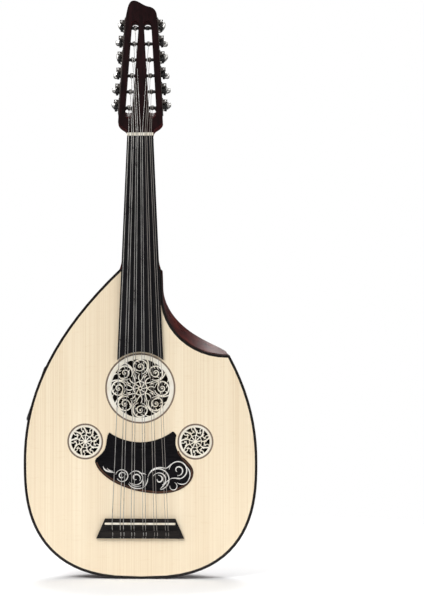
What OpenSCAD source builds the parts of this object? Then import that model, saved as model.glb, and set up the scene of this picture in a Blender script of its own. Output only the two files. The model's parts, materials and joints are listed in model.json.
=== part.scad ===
// Electro-acoustic cutaway oud with a slotted, geared headstock and a flat back panel.
// Upright along +Z, soundboard facing -Y, origin at the middle of the tail.

/* [Scale] */
// Speaking length of the strings, nut to saddle
string_len = 585; // [575:1:595]
// Height of the saddle above the tail
saddle_z = 82; // [78:1:86]

/* [Body] */
// Half of the body's greatest width
body_half_w = 176; // [170:1:182]
// Height of the widest place above the tail
widest_z = 176; // [172:1:182]
// Height of the joint between body and neck
joint_z = 466; // [460:1:470]
// Depth that the full bowl would have without its flat back
bowl_depth = 97; // [95:1:103]
// Depth of the body at the flat back panel
body_depth = 78; // [76:0.5:80]
// Number of ribs round the bowl
rib_count = 16; // [12:2:18]
// Thickness of a rib
rib_t = 2.6; // [2.2:0.1:3]
// Width of the light purfling line between two ribs
purfling_w = 1; // [0.6:0.1:1.2]
// Height of the tail cap that covers the rib ends
tail_cap_h = 16; // [12:1:20]
// Thickness of the back panel
panel_t = 3; // [2.5:0.5:3.5]
// Height of the cross seam between the two back boards
panel_seam_z = 252; // [240:1:264]

/* [Cutaway] */
// Middle of the cutaway's quarter ellipse, sideways
cut_x = 130; // [128:1:132]
// Middle of the cutaway's quarter ellipse, height
cut_z = 425; // [422:1:428]
// Half width of the cutaway ellipse
cut_a = 96; // [94:1:97]
// Half height of the cutaway ellipse
cut_b = 89; // [86:1:92]
// Lean of the cutaway wall toward the head, degrees
cut_lean = 23; // [18:1:26]

/* [Soundboard] */
// Thickness of the soundboard
board_t = 2.2; // [1.8:0.1:2.6]
// Width of the black edge binding
binding_w = 4; // [3:0.5:5]
// Depth of the edge binding
binding_d = 3.2; // [3:0.2:4]
// Height of the main sound hole's middle
rose_z = 286; // [284:1:288]
// Radius of the main rosette disc
rose_r = 50.5; // [48:0.5:51]
// Width of the dark ring round the main rosette
rose_ring_w = 2.5; // [2:0.5:2.5]
// Sideways place of each small rosette
small_rose_x = 83; // [81:1:85]
// Height of the small rosettes
small_rose_z = 206; // [204:1:208]
// Radius of a small rosette disc
small_rose_r = 24.6; // [23:0.2:25]

/* [Neck] */
// Width of the fingerboard at the nut
nut_w = 39.7; // [38:0.1:42]
// Growth of the fingerboard's half width per millimetre toward the body
board_taper = 0.0435; // [0.040:0.0005:0.046]
// Thickness of the fingerboard
fingerboard_t = 5; // [4:0.5:5.5]
// Depth of the neck's wood at the nut
neck_d_nut = 19; // [17:0.5:19]
// Depth of the neck's wood at the body
neck_d_body = 26; // [24:0.5:27]

/* [Headstock] */
// Backward tilt of the headstock, degrees
head_tilt = 13; // [11:0.5:15]
// Thickness of the headstock
head_t = 18; // [17:0.5:19]
// Number of tuners along each side
tuners = 6; // [6:1:6]
// Distance between neighbouring tuners
tuner_pitch = 26; // [25.5:0.1:26.2]
// Distance from the nut to the first roller
first_tuner = 43; // [42:0.5:44]
// Width of each slot
slot_w = 11.4; // [11:0.1:12]

/* [Hidden] */
$fn = 48;
eps = 0.01;
gap = 0.3;
nut_z = saddle_z + string_len;
lower_power = 2.6;
depth_power = 4.7;
upper_power = 2.1;
apex_z = widest_z + 318;
depth_apex_z = widest_z + 344.5;
depth_upper_power = 1.81;
tail_flat_z = 0.4;
lower_steps = 9;
upper_steps = 10;
rib_step = 180 / rib_count;
panel_y = body_depth - panel_t;
line_clearance = 0.06;
// Gap that keeps the preamp's flange off the curved shell
hair = 0.03;
jack_y = 34;
jack_r = 5.5;
jack_bore = 3.2;
jack_flange_r = 8;
jack_recess = 1.2;
nut_t = 5;
head_z = nut_z + nut_t;
roller_y = 9;
roller_r = 2.5;
winding_r = 3.3;
gear_teeth = 14;
gear_r = 5.6;
worm_r = 2.4;
worm_gap = 8.1;
shaft_out = 3.8;
// Turn of each key's button at rest, degrees
bass_turns = [35, 12, -20, 64, 8, 50];
treble_turns = [-30, -8, 24, -42, 15, -58];
// Where each string crosses the saddle and the nut, sideways from the middle
saddle_x = [-41.8, -29.7, -24.9, -13.3, -9, 4.3, 8.3, 20.9, 25.1, 38, 42];
nut_x = [-17.2, -12.6, -10, -5.9, -3.3, 0.8, 3.4, 7.5, 10.1, 14.2, 16.8];
string_r = [0.55, 0.5, 0.5, 0.45, 0.45, 0.42, 0.42, 0.38, 0.38, 0.33, 0.33];
wound_count = 7;
bass_strings = 6;
string_y_nut = -8;
string_y_saddle = -12;
preamp_z = 275;
preamp_angle = 21;
preamp_l = 88;
preamp_w = 38;
preamp_sink = 2;
tub_depth = 15;
knob_places = [20.5, 4, -12.5];
door_low = -40.2;
door_len = 21.6;
door_w = 28;
cell_r = 10;
cell_t = 3.2;

// ---------- shared shapes ----------

function tail_curve(drop, power) = pow(max(0, 1 - pow(drop, power)), 1 / power);

// Half width of the body at height z, drawn in by t
function half_w(z, t = 0) =
    z <= widest_z
        ? (body_half_w - t) * tail_curve((widest_z - z) / (widest_z - t), lower_power)
        : body_half_w * (1 - pow((z - widest_z) / (apex_z - widest_z), upper_power))
            - t * (1 + 0.3 * (z - widest_z) / (joint_z - widest_z));

// Depth of the full bowl at height z, drawn in by t
function depth(z, t = 0) =
    z <= widest_z
        ? (bowl_depth - t) * tail_curve((widest_z - z) / (widest_z - t), depth_power)
        : bowl_depth * (1 - pow((z - widest_z) / (depth_apex_z - widest_z), depth_upper_power)) - t;

// Height of station i along the bowl, closer together at the tail
function station(i, t = 0) =
    i <= lower_steps
        ? widest_z - (widest_z - t) * cos(90 * i / lower_steps)
        : widest_z + (joint_z - widest_z) * (i - lower_steps) / upper_steps;

last_station = lower_steps + upper_steps;

// Point of the bowl at station i and angle a, 0 on the treble edge and 180 on the bass edge
function bowl_point(i, a, t = 0) =
    let (z = station(i, t), shape_z = max(z, t + tail_flat_z))
    [half_w(shape_z, t) * cos(a), depth(shape_z, t) * sin(a), z];

// Closed loft through rings of equally many points, each turning left as seen from the last ring
module loft(rings) {
    n = len(rings[0]);
    m = len(rings);
    sides = [for (i = [0:m - 2], j = [0:n - 1])
        let (k = (j + 1) % n, a = i * n)
        each [[a + j, a + n + j, a + n + k], [a + j, a + n + k, a + k]]];
    first = [for (j = [1:n - 2]) [0, j, j + 1]];
    last = [for (j = [1:n - 2]) [(m - 1) * n, (m - 1) * n + j + 1, (m - 1) * n + j]];
    polyhedron([for (r = rings) each r], concat(sides, first, last), convexity = 8);
}

// One mesh from boolean work on lofted shapes
module lofted() {
    resize([0, 0, 0]) children();
}

// Solid of the whole bowl, drawn in by t
module bowl_solid(t = 0) {
    loft([for (i = [0:last_station]) [for (k = [0:rib_count]) bowl_point(i, k * rib_step, t)]]);
}

// Band of the shell between two angles
module shell_band(a0, a1) {
    loft([for (i = [0:last_station]) [
        bowl_point(i, a0), bowl_point(i, a1),
        bowl_point(i, a1, rib_t), bowl_point(i, a0, rib_t)]]);
}

// Front edge of the cutaway from the neck joint down to the horn, moved into the body by d
function cut_edge(d = 0) = concat(
    [[cut_x - cut_a - 1 - d, joint_z + 60], [cut_x - cut_a - d, cut_z]],
    [for (i = [1:12]) let (a = 90 * i / 12)
        [cut_x - (cut_a + d) * cos(a), cut_z - (cut_b + d) * sin(a)]]);

// Leaning prism of everything that the cutaway takes off
module cutaway(d = 0) {
    points = concat(cut_edge(d), [[cut_x + 90, cut_z - cut_b - d], [cut_x + 90, joint_z + 60]]);
    squeeze = cos(cut_lean);
    rotate([cut_lean, 0, 0])
        translate([0, 500, 0])
            rotate([90, 0, 0])
                linear_extrude(height = 800)
                    polygon([for (p = points) [p[0], p[1] * squeeze]]);
}

// Upright outline of the soundboard, drawn in by d
function horn_z(d) = cut_z - cut_b - d;
function edge_slope(z) = (half_w(z + 0.5) - half_w(z - 0.5));
function bass_edge(d, steps = 40) = [for (i = [0:steps])
    let (z = d + (joint_z - d) * pow(i / steps, 1.6))
    [-max(0.01, half_w(z, d > 0 && z <= widest_z ? d : 0)
        - (z > widest_z ? d * sqrt(1 + pow(edge_slope(z), 2)) : 0)), z]];
function treble_edge(d, steps = 30) = [for (i = [steps:-1:0])
    let (z = d + (horn_z(d) - d) * pow(i / steps, 1.6))
    [max(0.01, half_w(z, d > 0 && z <= widest_z ? d : 0)
        - (z > widest_z ? d * sqrt(1 + pow(edge_slope(z), 2)) : 0)), z]];
function board_outline(d = 0) = concat(
    bass_edge(d),
    [[half_w(joint_z) - d, joint_z], [cut_x - cut_a - d, cut_z]],
    [for (i = [1:12]) let (a = 90 * i / 12)
        [cut_x - (cut_a + d) * cos(a), cut_z - (cut_b + d) * sin(a)]],
    treble_edge(d));

// Extrudes an outline drawn in x and z from y0 to y1
module upright(y0, y1) {
    translate([0, y1, 0]) rotate([90, 0, 0]) linear_extrude(height = y1 - y0) children();
}

// Frame of the tilted headstock: z along it from the nut, y from its face to its back
module on_head() {
    translate([0, 0, head_z]) rotate([-head_tilt, 0, 0]) children();
}

// Unit normal of the bowl at height z and angle a on the bass side
function wall_gradient(z, a) =
    let (w = half_w(z), b = depth(z), dw = half_w(z + 0.5) - half_w(z - 0.5),
        db = depth(z + 0.5) - depth(z - 0.5))
    [-cos(a) / w, sin(a) / b, -(pow(cos(a), 2) * dw / w + pow(sin(a), 2) * db / b)];
wall_n = wall_gradient(preamp_z, preamp_angle) / norm(wall_gradient(preamp_z, preamp_angle));
preamp_turn = atan2(-wall_n[0], wall_n[1]);
preamp_tip = asin(wall_n[2]);
// Turn in the wall's plane that lays the preamp parallel to the soundboard's edge
preamp_roll = atan(sin(preamp_tip) / tan(preamp_turn));

// Frame of the preamp: z out of the side wall, y up along it
module on_side() {
    translate([-half_w(preamp_z) * cos(preamp_angle), depth(preamp_z) * sin(preamp_angle), preamp_z])
        rotate([0, 0, preamp_turn])
            rotate([preamp_tip - 90, 0, 0])
                rotate([0, 0, 180 + preamp_roll])
                    translate([0, 0, -preamp_sink]) children();
}

// Block with its corners rounded in plan, from z0 to z1
module rounded_block(size_x, size_y, corner, z0, z1) {
    translate([0, 0, z0]) linear_extrude(height = z1 - z0) {
        square([size_x, size_y - 2 * corner], center = true);
        square([size_x - 2 * corner, size_y], center = true);
        for (x = [-1, 1], y = [-1, 1])
            translate([x * (size_x / 2 - corner), y * (size_y / 2 - corner)]) circle(r = corner);
    }
}

// ---------- body ----------

module soundboard() {
    color("blanchedalmond")
        difference() {
            upright(0, board_t) polygon(board_outline(binding_w));
            disc_y(0, rose_z, rose_r + rose_ring_w, -1, board_t + 1);
            for (side = [-1, 1])
                disc_y(side * small_rose_x, small_rose_z, small_rose_r + rose_ring_w, -1, board_t + 1);
            disc_y(lead_x, lead_z, lead_hole_r, -1, board_t + 1);
        }
}

// Disc facing -Y with its middle at x and z
module disc_y(x, z, r, y0, y1) {
    translate([x, y1, z]) rotate([90, 0, 0]) cylinder(r = r, h = y1 - y0);
}

module soundboard_binding() {
    color("black")
        difference() {
            upright(0, binding_d) polygon(board_outline());
            upright(-1, binding_d + 1) polygon(board_outline(binding_w));
        }
}

module soundboard_braces() {
    heights = [42, 112, 150, 234, 345, 398];
    color("burlywood")
        for (z = heights) {
            left = half_w(z) * 0.93 - 8;
            rise = (cut_z - z - 4) / (cut_b + 4);
            right = z < horn_z(0) - 4 ? left : cut_x - (cut_a + 5) * sqrt(max(0, 1 - pow(rise, 2)));
            translate([-left, board_t, z - 3]) cube([left + right, 14, 6]);
        }
}

// What the shell keeps: behind the binding, before the back panel, above the tail cap
module shell_limits() {
    translate([-200, binding_d, tail_cap_h]) cube([400, panel_y - binding_d, 600]);
}

module preamp_opening() {
    on_side() translate([0, 0, -10]) cube([preamp_w - 2.4, preamp_l - 2.4, 50], center = true);
}

module trimmed_shell() {
    lofted() difference() {
        intersection() {
            union() children();
            shell_limits();
        }
        cutaway(rib_t);
        preamp_opening();
    }
}

// Half of the angle between two ribs, and of the purfling line that fills it
rib_gap_angle = atan(purfling_w / 2 / bowl_depth);
line_angle = atan((purfling_w / 2 - line_clearance) / bowl_depth);

module bowl_ribs() {
    color("maroon")
        trimmed_shell()
            for (k = [0:rib_count - 1])
                shell_band(
                    k * rib_step + (k > 0 ? rib_gap_angle : 0),
                    (k + 1) * rib_step - (k < rib_count - 1 ? rib_gap_angle : 0));
}

module rib_purfling() {
    color("tan")
        trimmed_shell()
            for (k = [1:rib_count - 1])
                shell_band(k * rib_step - line_angle, k * rib_step + line_angle);
}

module tail_cap() {
    color("maroon")
        lofted() difference() {
            bowl_solid();
            bowl_solid(rib_t);
            translate([-200, -eps, tail_cap_h]) cube([400, 200, 600]);
            translate([-200, -1, -1]) cube([400, binding_d + 1, 50]);
            translate([-200, panel_y, -1]) cube([400, 100, 50]);
            translate([0, jack_y, -1]) cylinder(r = jack_flange_r + gap, h = 1 + jack_recess, $fn = 32);
            translate([0, jack_y, -1]) cylinder(r = jack_r + gap, h = 20, $fn = 32);
        }
}

module cutaway_side() {
    color("maroon")
        lofted() difference() {
            intersection() {
                bowl_solid();
                translate([0, binding_d, 300]) cube([200, panel_y - binding_d, joint_z - 300]);
                cutaway(rib_t - eps);
            }
            cutaway();
        }
}

// Half width of the flat back at height z
function panel_half_w(z) = half_w(z) * sqrt(max(0, 1 - pow(panel_y / depth(z), 2)));
panel_low_z = widest_z * (1 - tail_curve(panel_y / bowl_depth, depth_power));
panel_high_z =
    widest_z + (depth_apex_z - widest_z) * pow(1 - panel_y / bowl_depth, 1 / depth_upper_power);

// Egg-shaped outline of the back panel between two fractions of its height
function panel_edge(side, from, to, steps = 20) = [for (i = [0:steps])
    let (turn = from + (to - from) * i / steps,
        z = panel_low_z + (panel_high_z - panel_low_z) * (1 - cos(turn)) / 2)
    [side * panel_half_w(z), z]];
seam_turn = acos(1 - 2 * (panel_seam_z - panel_low_z) / (panel_high_z - panel_low_z));

module back_panel_upper() {
    color("sienna")
        upright(panel_y, body_depth)
            polygon(concat(panel_edge(-1, seam_turn, 180), panel_edge(1, 179, seam_turn)));
}

module back_panel_lower() {
    color("sienna")
        upright(panel_y, body_depth)
            polygon(concat(panel_edge(-1, 1, seam_turn), panel_edge(1, seam_turn, 0)));
}

// Glue blocks inside the body, one at the neck and one at the tail
module end_blocks() {
    color("burlywood") {
        hull() {
            translate([-34, board_t, 410]) cube([58, 32, 1]);
            translate([-18, board_t, joint_z - 4]) cube([36, 16, 1]);
        }
        translate([-30, board_t, rib_t + 4]) cube([60, 14, 20]);
    }
}

// ---------- neck ----------

function board_half_w(z) = nut_w / 2 + (nut_z - z) * board_taper;

// Half-round section of the neck at height z
function neck_ring(z, steps = 16) =
    let (t = (z - joint_z) / (nut_z - joint_z), d = neck_d_body + (neck_d_nut - neck_d_body) * t)
    [for (k = [0:steps]) let (a = 180 * k / steps) [board_half_w(z) * cos(a), d * sin(a), z]];

module neck() {
    color("saddlebrown")
        lofted() difference() {
            loft([for (z = [joint_z, head_z + 8]) neck_ring(z)]);
            on_head() translate([-60, -20, 0]) cube([120, 80, 60]);
        }
}

module fingerboard() {
    end_z = rose_z + 46;
    color("black")
        difference() {
            upright(-fingerboard_t, 0)
                polygon([
                    [-board_half_w(end_z - 6), end_z - 6], [-nut_w / 2, nut_z],
                    [nut_w / 2, nut_z], [board_half_w(end_z - 6), end_z - 6]]);
            disc_y(0, rose_z, rose_r + rose_ring_w + 2, -fingerboard_t - 1, 1);
        }
}

module nut() {
    color("ivory")
        translate([-nut_w / 2, 0, nut_z])
            rotate([90, 0, 90])
                linear_extrude(height = nut_w)
                    polygon([[0, 0], [string_y_nut, 0], [string_y_nut + 3, nut_t], [0, nut_t]]);
}

// ---------- headstock ----------

// Half width of the headstock at height u along it
function head_half_w(u) = 34 - (u - 18) * 0.0578;
// Sideways place of a slot's middle at height u
function slot_x(u) = 18 - (u - 39) * 0.062;
function tuner_u(i) = first_tuner + tuner_pitch * i;
slot_low = first_tuner - 20;
slot_high = tuner_u(tuners - 1) + 9;
slot_end_lean = 50;
function bezier(a, b, c, d, steps = 6) = [for (i = [1:steps]) let (t = i / steps, s = 1 - t)
    s * s * s * a + 3 * s * s * t * b + 3 * s * t * t * c + t * t * t * d];

// Outline of the headstock: shoulders, tapering sides and a top that slopes to the treble side
head_outline = concat(
    [[-nut_w / 2, 0]],
    bezier([-nut_w / 2, 1], [-21, 9], [-31, 8], [-34, 18]),
    [[-head_half_w(188), 188]],
    bezier([-head_half_w(188), 188], [-21.5, 204], [-20, 215.5], [-12, 215.5]),
    bezier([-12, 215.5], [-4, 215.5], [2, 207], [11, 205.5]),
    bezier([11, 205.5], [18, 204], [23, 200], [head_half_w(190), 190]),
    [[34, 18]],
    bezier([34, 18], [31, 8], [21, 9], [nut_w / 2, 1]),
    [[nut_w / 2, 0]]);

module headstock() {
    color([0.16, 0.05, 0.04])
        difference() {
            on_head() difference() {
                upright(0, head_t) polygon(head_outline);
                for (side = [-1, 1]) {
                    slot(side);
                    for (i = [0:tuners - 1]) {
                        u = tuner_u(i);
                        inner = roller_inner(u) - gap;
                        translate([side * inner, roller_y, u])
                            rotate([0, side * 90, 0]) cylinder(r = roller_r + 0.08, h = 60);
                    }
                }
            }
            for (k = [0:len(nut_x) - 1])
                bar(over_nut(k), at_roller(k), string_r[k] + channel_gap);
            // The first course's inner channel is eased where it opens into its slot
            translate(over_nut(9) + 0.59 * (at_roller(9) - over_nut(9))) sphere(mouth_r);
        }
}

// Slot with a round top end and a leaning round end toward the nut
module slot(side) {
    half = slot_w / 2;
    mouth = slot_low + half / sin(slot_end_lean);
    low = slot_low + 2 * half / sin(slot_end_lean) - 0.1;
    high = slot_high - half;
    upright(-1, head_t + 1) {
        polygon([
            [side * slot_x(low) - half, low], [side * slot_x(high) - half, high],
            [side * slot_x(high) + half, high], [side * slot_x(low) + half, low]]);
        translate([side * slot_x(high), high]) circle(r = half);
    }
    translate([side * slot_x(low), 0, mouth])
        rotate([-slot_end_lean, 0, 0])
            translate([0, 0, -8]) cylinder(r = half, h = 50);
}

// Inner end of a roller, inside the middle spine
function roller_inner(u) = max(1.6, slot_x(u) - slot_w / 2 - 5);
// Outer face of the side plate at height u
plate_t = 1.2;
function plate_out(u) = head_half_w(u) + plate_t + 0.35;
function gear_mid(u) = plate_out(u) + shaft_out;

// Side plates with their worm brackets and screws
module tuner_plates() {
    low = tuner_u(0) - 11;
    high = tuner_u(tuners - 1) + 15;
    color("dimgray")
        on_head() for (side = [-1, 1]) difference() {
            union() {
                upright(2, 16)
                    polygon([
                        [side * (head_half_w(low) + 0.1), low], [side * (head_half_w(high) + 0.1), high],
                        [side * (head_half_w(high) + plate_t), high],
                        [side * (head_half_w(low) + plate_t), low]]);
                for (i = [0:tuners - 1]) tuner_brackets(side, tuner_u(i));
            }
            for (i = [0:tuners - 1]) {
                u = tuner_u(i);
                translate([0, roller_y, u]) rotate([0, side * 90, 0]) cylinder(r = roller_r + 0.08, h = 60);
                translate([side * gear_mid(u), -5, u + worm_gap])
                    rotate([-90, 0, 0]) cylinder(r = 1.56, h = 40);
            }
        }
}

// Two lugs that hold a worm, and the plate's screw above them
module tuner_brackets(side, u) {
    reach = gear_mid(u) + 2.6 - head_half_w(u);
    for (y = [2.2, 13.6])
        translate([side > 0 ? head_half_w(u) + 0.6 : -head_half_w(u) - reach, y, u + worm_gap - 3])
            cube([reach - 0.6, 2.2, 6]);
    translate([side * (head_half_w(u + 14) + plate_t - 0.2), roller_y, u + 14])
        rotate([0, side * 90, 0]) cylinder(r = 1.9, h = 1.1);
}

module tuner_roller(side, i) {
    u = tuner_u(i);
    inner = roller_inner(u);
    gear_x = gear_mid(u);
    color("silver")
        on_head() translate([0, roller_y, u]) rotate([0, side * 90, 0]) {
            translate([0, 0, inner]) cylinder(r = roller_r, h = gear_x + 2.6 - inner);
            translate([0, 0, slot_x(u) - 2.4]) cylinder(r = winding_r, h = 4.8);
            translate([0, 0, gear_x - 1.7]) linear_extrude(height = 3.4) gear_outline();
            translate([0, 0, gear_x + 2.6 - eps]) cylinder(r = 1.8, h = 0.9);
        }
}

module gear_outline() {
    points = [for (k = [0:gear_teeth - 1], p = [[-0.32, 4.3], [-0.16, gear_r], [0.16, gear_r], [0.32, 4.3]])
        let (a = 360 * (k + p[0]) / gear_teeth) p[1] * [cos(a), sin(a)]];
    polygon(points);
}

module tuner_key(side, i) {
    u = tuner_u(i);
    turn = side < 0 ? bass_turns[i] : treble_turns[i];
    color("gainsboro")
        on_head() translate([side * gear_mid(u), 0, u + worm_gap]) rotate([-90, turn, 0]) {
            translate([0, 0, 1]) cylinder(r = 1.5, h = 22);
            translate([0, 0, roller_y - 4.1]) cylinder(r = 1.7, h = 8.2);
            for (k = [-1.5:1:1.5])
                translate([0, 0, roller_y + 2.33 * k - 0.5]) cylinder(r = worm_r, h = 1);
            translate([0, 0, 18.4]) cylinder(r = 2.8, h = 2.6);
            translate([0, 0, 20.4]) button_block();
        }
}

// Oval button on the end of a key
module button_block() {
    linear_extrude(height = 12) {
        square([9, 8.4], center = true);
        for (x = [-4.5, 4.5]) translate([x, 0]) circle(r = 4.2);
    }
}

// ---------- strings and fittings ----------

bridge_low = saddle_z - 21;
bridge_high = saddle_z + 8.5;
tie_top = bridge_low + 12;
tie_y = -5.9;
// Hole under the saddle for the pickup's lead
lead_x = -49;
lead_z = saddle_z + 1.6;
lead_hole_r = 1.1;

module bridge() {
    color([0.1, 0.08, 0.08])
        difference() {
            union() {
                upright(-5, 0)
                    polygon([[-66, bridge_low], [-53, bridge_high], [53, bridge_high], [66, bridge_low]]);
                translate([-53.5, -9.4, saddle_z - 2.6]) cube([107, 5, 9.6]);
                translate([-58, -7.6, bridge_low + 2]) cube([116, 3, tie_top - bridge_low - 2]);
            }
            translate([-53, -20, saddle_z]) cube([106, 17, 3.2]);
            for (x = saddle_x)
                translate([x, tie_y, bridge_low - 1]) cylinder(r = 0.8, h = 16);
            disc_y(lead_x, lead_z, lead_hole_r, -3.5, 1);
        }
}

module saddle() {
    color("ivory")
        translate([-52.9, string_y_saddle, saddle_z + 0.05]) cube([105.8, 8, 3.1]);
}

// Piezo strip in the bottom of the saddle's slot
module pickup_strip() {
    color("goldenrod")
        translate([-52, -4, saddle_z + 0.4]) cube([104, 1, 2.4]);
}

function unit(v) = v / norm(v);

// Round bar between two points
module bar(from, to, r) {
    v = to - from;
    translate(from)
        rotate([0, acos(v[2] / norm(v)), atan2(v[1], v[0])]) cylinder(r = r, h = norm(v));
}

function head_point(p) =
    [p[0], p[1] * cos(head_tilt) + p[2] * sin(head_tilt),
        head_z - p[1] * sin(head_tilt) + p[2] * cos(head_tilt)];

// Strings from the bass edge take the bass rollers from the nut up, those from the treble edge likewise
function string_side(k) = k < bass_strings ? -1 : 1;
function string_row(k) = k < bass_strings ? k : len(nut_x) - 1 - k;

function over_nut(k) = [nut_x[k], string_y_nut - string_r[k] - 0.02, nut_z];
// Front of the winding on the string's roller
function at_roller(k) = let (u = tuner_u(string_row(k)))
    head_point([string_side(k) * slot_x(u), roller_y - winding_r - string_r[k] - 0.25, u]);
// Room round a string where it dips into the face of the headstock
channel_gap = 0.45;
mouth_r = 2.3;

module string(k) {
    r = string_r[k];
    over_saddle = [saddle_x[k], string_y_saddle - r - 0.02, saddle_z];
    bar(over_saddle, over_nut(k), r);
    bar(over_nut(k) + 2 * r * unit(at_roller(k) - over_nut(k)), at_roller(k), r);
    bar([saddle_x[k], tie_y, tie_top + 1], over_saddle - [0, 0, 2 * r], r);
    bar([saddle_x[k], tie_y, bridge_low + 0.5], [saddle_x[k], tie_y, tie_top], r);
}

module wound_strings() {
    color("silver") for (k = [0:wound_count - 1]) string(k);
}

module nylon_strings() {
    color("lightgray") for (k = [wound_count:len(nut_x) - 1]) string(k);
}

// ---------- rosettes and pickguard ----------

// Flat ring in the soundboard's plane
module flat_ring(r, w) {
    difference() {
        circle(r = r + w / 2);
        circle(r = r - w / 2);
    }
}

// Openwork of the main rosette: rim, hub and hoops laid round it
module fretwork(rim, rim_w, folds, y1) {
    inner = rim - rim_w;
    hub = inner * 0.2;
    middle = (inner + hub) / 2;
    band = inner * 0.06;
    ring = (inner - hub) / 2 + band / 2;
    translate([0, y1, 0]) rotate([90, 0, 0]) {
        linear_extrude(height = y1 - 0.2) {
            flat_ring(rim - rim_w / 2, rim_w);
            flat_ring(hub, band * 1.4);
        }
        for (k = [0:folds - 1]) rotate([0, 0, 360 * k / folds])
            translate([middle, 0, 0]) linear_extrude(height = y1 - 0.4) flat_ring(ring, band);
    }
}

module main_rosette() {
    color("floralwhite")
        translate([0, 0, rose_z]) fretwork(rose_r, 6, 8, 1.8);
}

// Openwork of a small rosette: rim, middle ring and hub joined by rays
module ray_work(rim, rim_w, rays, y1) {
    inner = rim - rim_w;
    translate([0, y1, 0]) rotate([90, 0, 0]) {
        linear_extrude(height = y1 - 0.2) flat_ring(rim - rim_w / 2, rim_w);
        linear_extrude(height = y1 - 0.2) flat_ring(inner * 0.6, 1.6);
        cylinder(r = inner * 0.22, h = y1 - 0.2);
        for (k = [0:rays - 1]) rotate([0, 0, 360 * k / rays])
            translate([inner * 0.15, -0.6, 0.1]) cube([inner * 0.9, 1.2, y1 - 0.5]);
    }
}

module small_rosettes() {
    color("floralwhite")
        for (side = [-1, 1])
            translate([side * small_rose_x, 0, small_rose_z]) ray_work(small_rose_r, 3.2, 9, 1.8);
}

module ring_inlay(x, z, r) {
    difference() {
        disc_y(x, z, r + rose_ring_w, 0, 1.8);
        disc_y(x, z, r, -1, 3);
    }
}

module rosette_rings() {
    color("rosybrown") {
        ring_inlay(0, rose_z, rose_r);
        for (side = [-1, 1]) ring_inlay(side * small_rose_x, small_rose_z, small_rose_r);
    }
}

// Pickguard: a leaf-shaped plate bitten by circles round the three rosettes
module pickguard() {
    left = [-68, 174];
    right = [80, 160];
    color([0.07, 0.05, 0.05])
        difference() {
            upright(-1, 0)
                polygon(concat(
                    [left],
                    bezier(left, [-60, 150], [-20, 130], [26, 128], 12),
                    bezier([26, 128], [58, 127], [80, 142], right, 8),
                    bezier(right, [80, 172], [66, 178], [60, 190], 6),
                    bezier([60, 190], [54, 205], [58, 222], [46, 222], 6),
                    bezier([-40, 222], [-56, 222], [-46, 198], [-58, 188], 6),
                    bezier([-58, 188], [-64, 182], [-70, 180], left, 4)));
            disc_y(0, rose_z, 81, -3, 1);
            for (side = [-1, 1])
                disc_y(side * small_rose_x, small_rose_z, small_rose_r + rose_ring_w + 3, -3, 1);
        }
}

// Spiral band that opens out from its eye
module scroll(x, z, r, start, turns = 1.25, steps = 18) {
    function on_scroll(i, w) = let (f = i / steps, a = start + 360 * turns * f)
        (r * (0.2 + 0.8 * f) + w) * [cos(a), sin(a)];
    translate([x, z])
        polygon(concat(
            [for (i = [0:steps]) on_scroll(i, 0.8)],
            [for (i = [steps:-1:0]) on_scroll(i, -0.8)]));
}

// Places and sizes of the scrolls along the pickguard's lower edge: x, z, radius, start angle
scrolls = [[-34, 158, 7, 40], [-14, 151, 8, 10], [8, 147, 9, -10], [34, 144, 11, -30], [58, 158, 10, 20]];

module pickguard_inlay() {
    color("floralwhite")
        for (s = scrolls) upright(-1.25, -1) scroll(s[0], s[1], s[2], s[3]);
}

// ---------- preamp, jack and leads ----------

plate_low = -preamp_l / 2 + 3;
plate_high = preamp_l / 2 - 3;
door_mid = door_low + door_len / 2;

module preamp_case() {
    color([0.05, 0.05, 0.05])
        lofted() difference() {
            union() {
                difference() {
                    on_side() rounded_block(preamp_w, preamp_l, 5, -6, 2);
                    bowl_solid(-hair);
                    on_side() cube([preamp_w - 3.6, preamp_l - 3.6, 40], center = true);
                }
                on_side()
                    translate([-preamp_w / 2 + 1.5, -preamp_l / 2 + 1.5, -tub_depth])
                        cube([preamp_w - 3, preamp_l - 3, tub_depth + 2]);
            }
            on_side()
                translate([-preamp_w / 2 + 3.4, plate_low + 0.2, -tub_depth + 1.5])
                    cube([preamp_w - 6.8, plate_high - plate_low - 0.4, tub_depth + 5]);
        }
}

module preamp_plate() {
    high = plate_high - 0.2;
    low = plate_low + 0.4;
    color("slategray")
        on_side() difference() {
            union() {
                translate([-preamp_w / 2 + 3.5, low, 0]) cube([preamp_w - 7, high - low, 1.6]);
                translate([-7, 38, 1.5]) cylinder(r = 1.2, h = 0.7);
            }
            for (y = knob_places) translate([0, y, -1]) cylinder(r = 3.06, h = 5);
            translate([6, 33, -1]) cylinder(r = 2.06, h = 5);
            translate([-door_w / 2 - 0.4, door_low - 0.4, -1]) cube([door_w + 0.8, door_len + 0.8, 5]);
        }
}

module knob(y) {
    color([0.08, 0.08, 0.09])
        on_side() translate([0, y, 0]) {
            translate([0, 0, -3]) cylinder(r = 3, h = 5);
            translate([0, 0, 1.9]) difference() {
                union() {
                    cylinder(r = 5.2, h = 5);
                    translate([0, 0, 4.9]) cylinder(r1 = 5.2, r2 = 4.6, h = 0.8);
                }
                translate([0, 3.4, 5.2]) cylinder(r = 0.5, h = 1);
            }
        }
}

module preamp_button() {
    color("black")
        on_side() translate([6, 33, -2.6]) {
            cylinder(r = 2, h = 5.6);
            cylinder(r = 2.9, h = 1.2);
        }
}

module battery_door() {
    color([0.1, 0.1, 0.11])
        on_side() {
            translate([-door_w / 2, door_low + 0.8, 0]) cube([door_w, door_len - 0.8, 1.6]);
            translate([-door_w / 2, door_low + 0.8, 0.8]) rotate([0, 90, 0]) cylinder(r = 0.8, h = door_w);
            translate([-4, door_low + door_len - 2.6, 1.5]) cube([8, 1.2, 0.6]);
        }
}

// Two coin cells under the door
module battery() {
    color("silver")
        on_side()
            for (k = [0, 1])
                translate([0, door_mid, -tub_depth + 1.6 + k * (cell_t + 0.05)])
                    cylinder(r = cell_r, h = cell_t);
}

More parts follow.
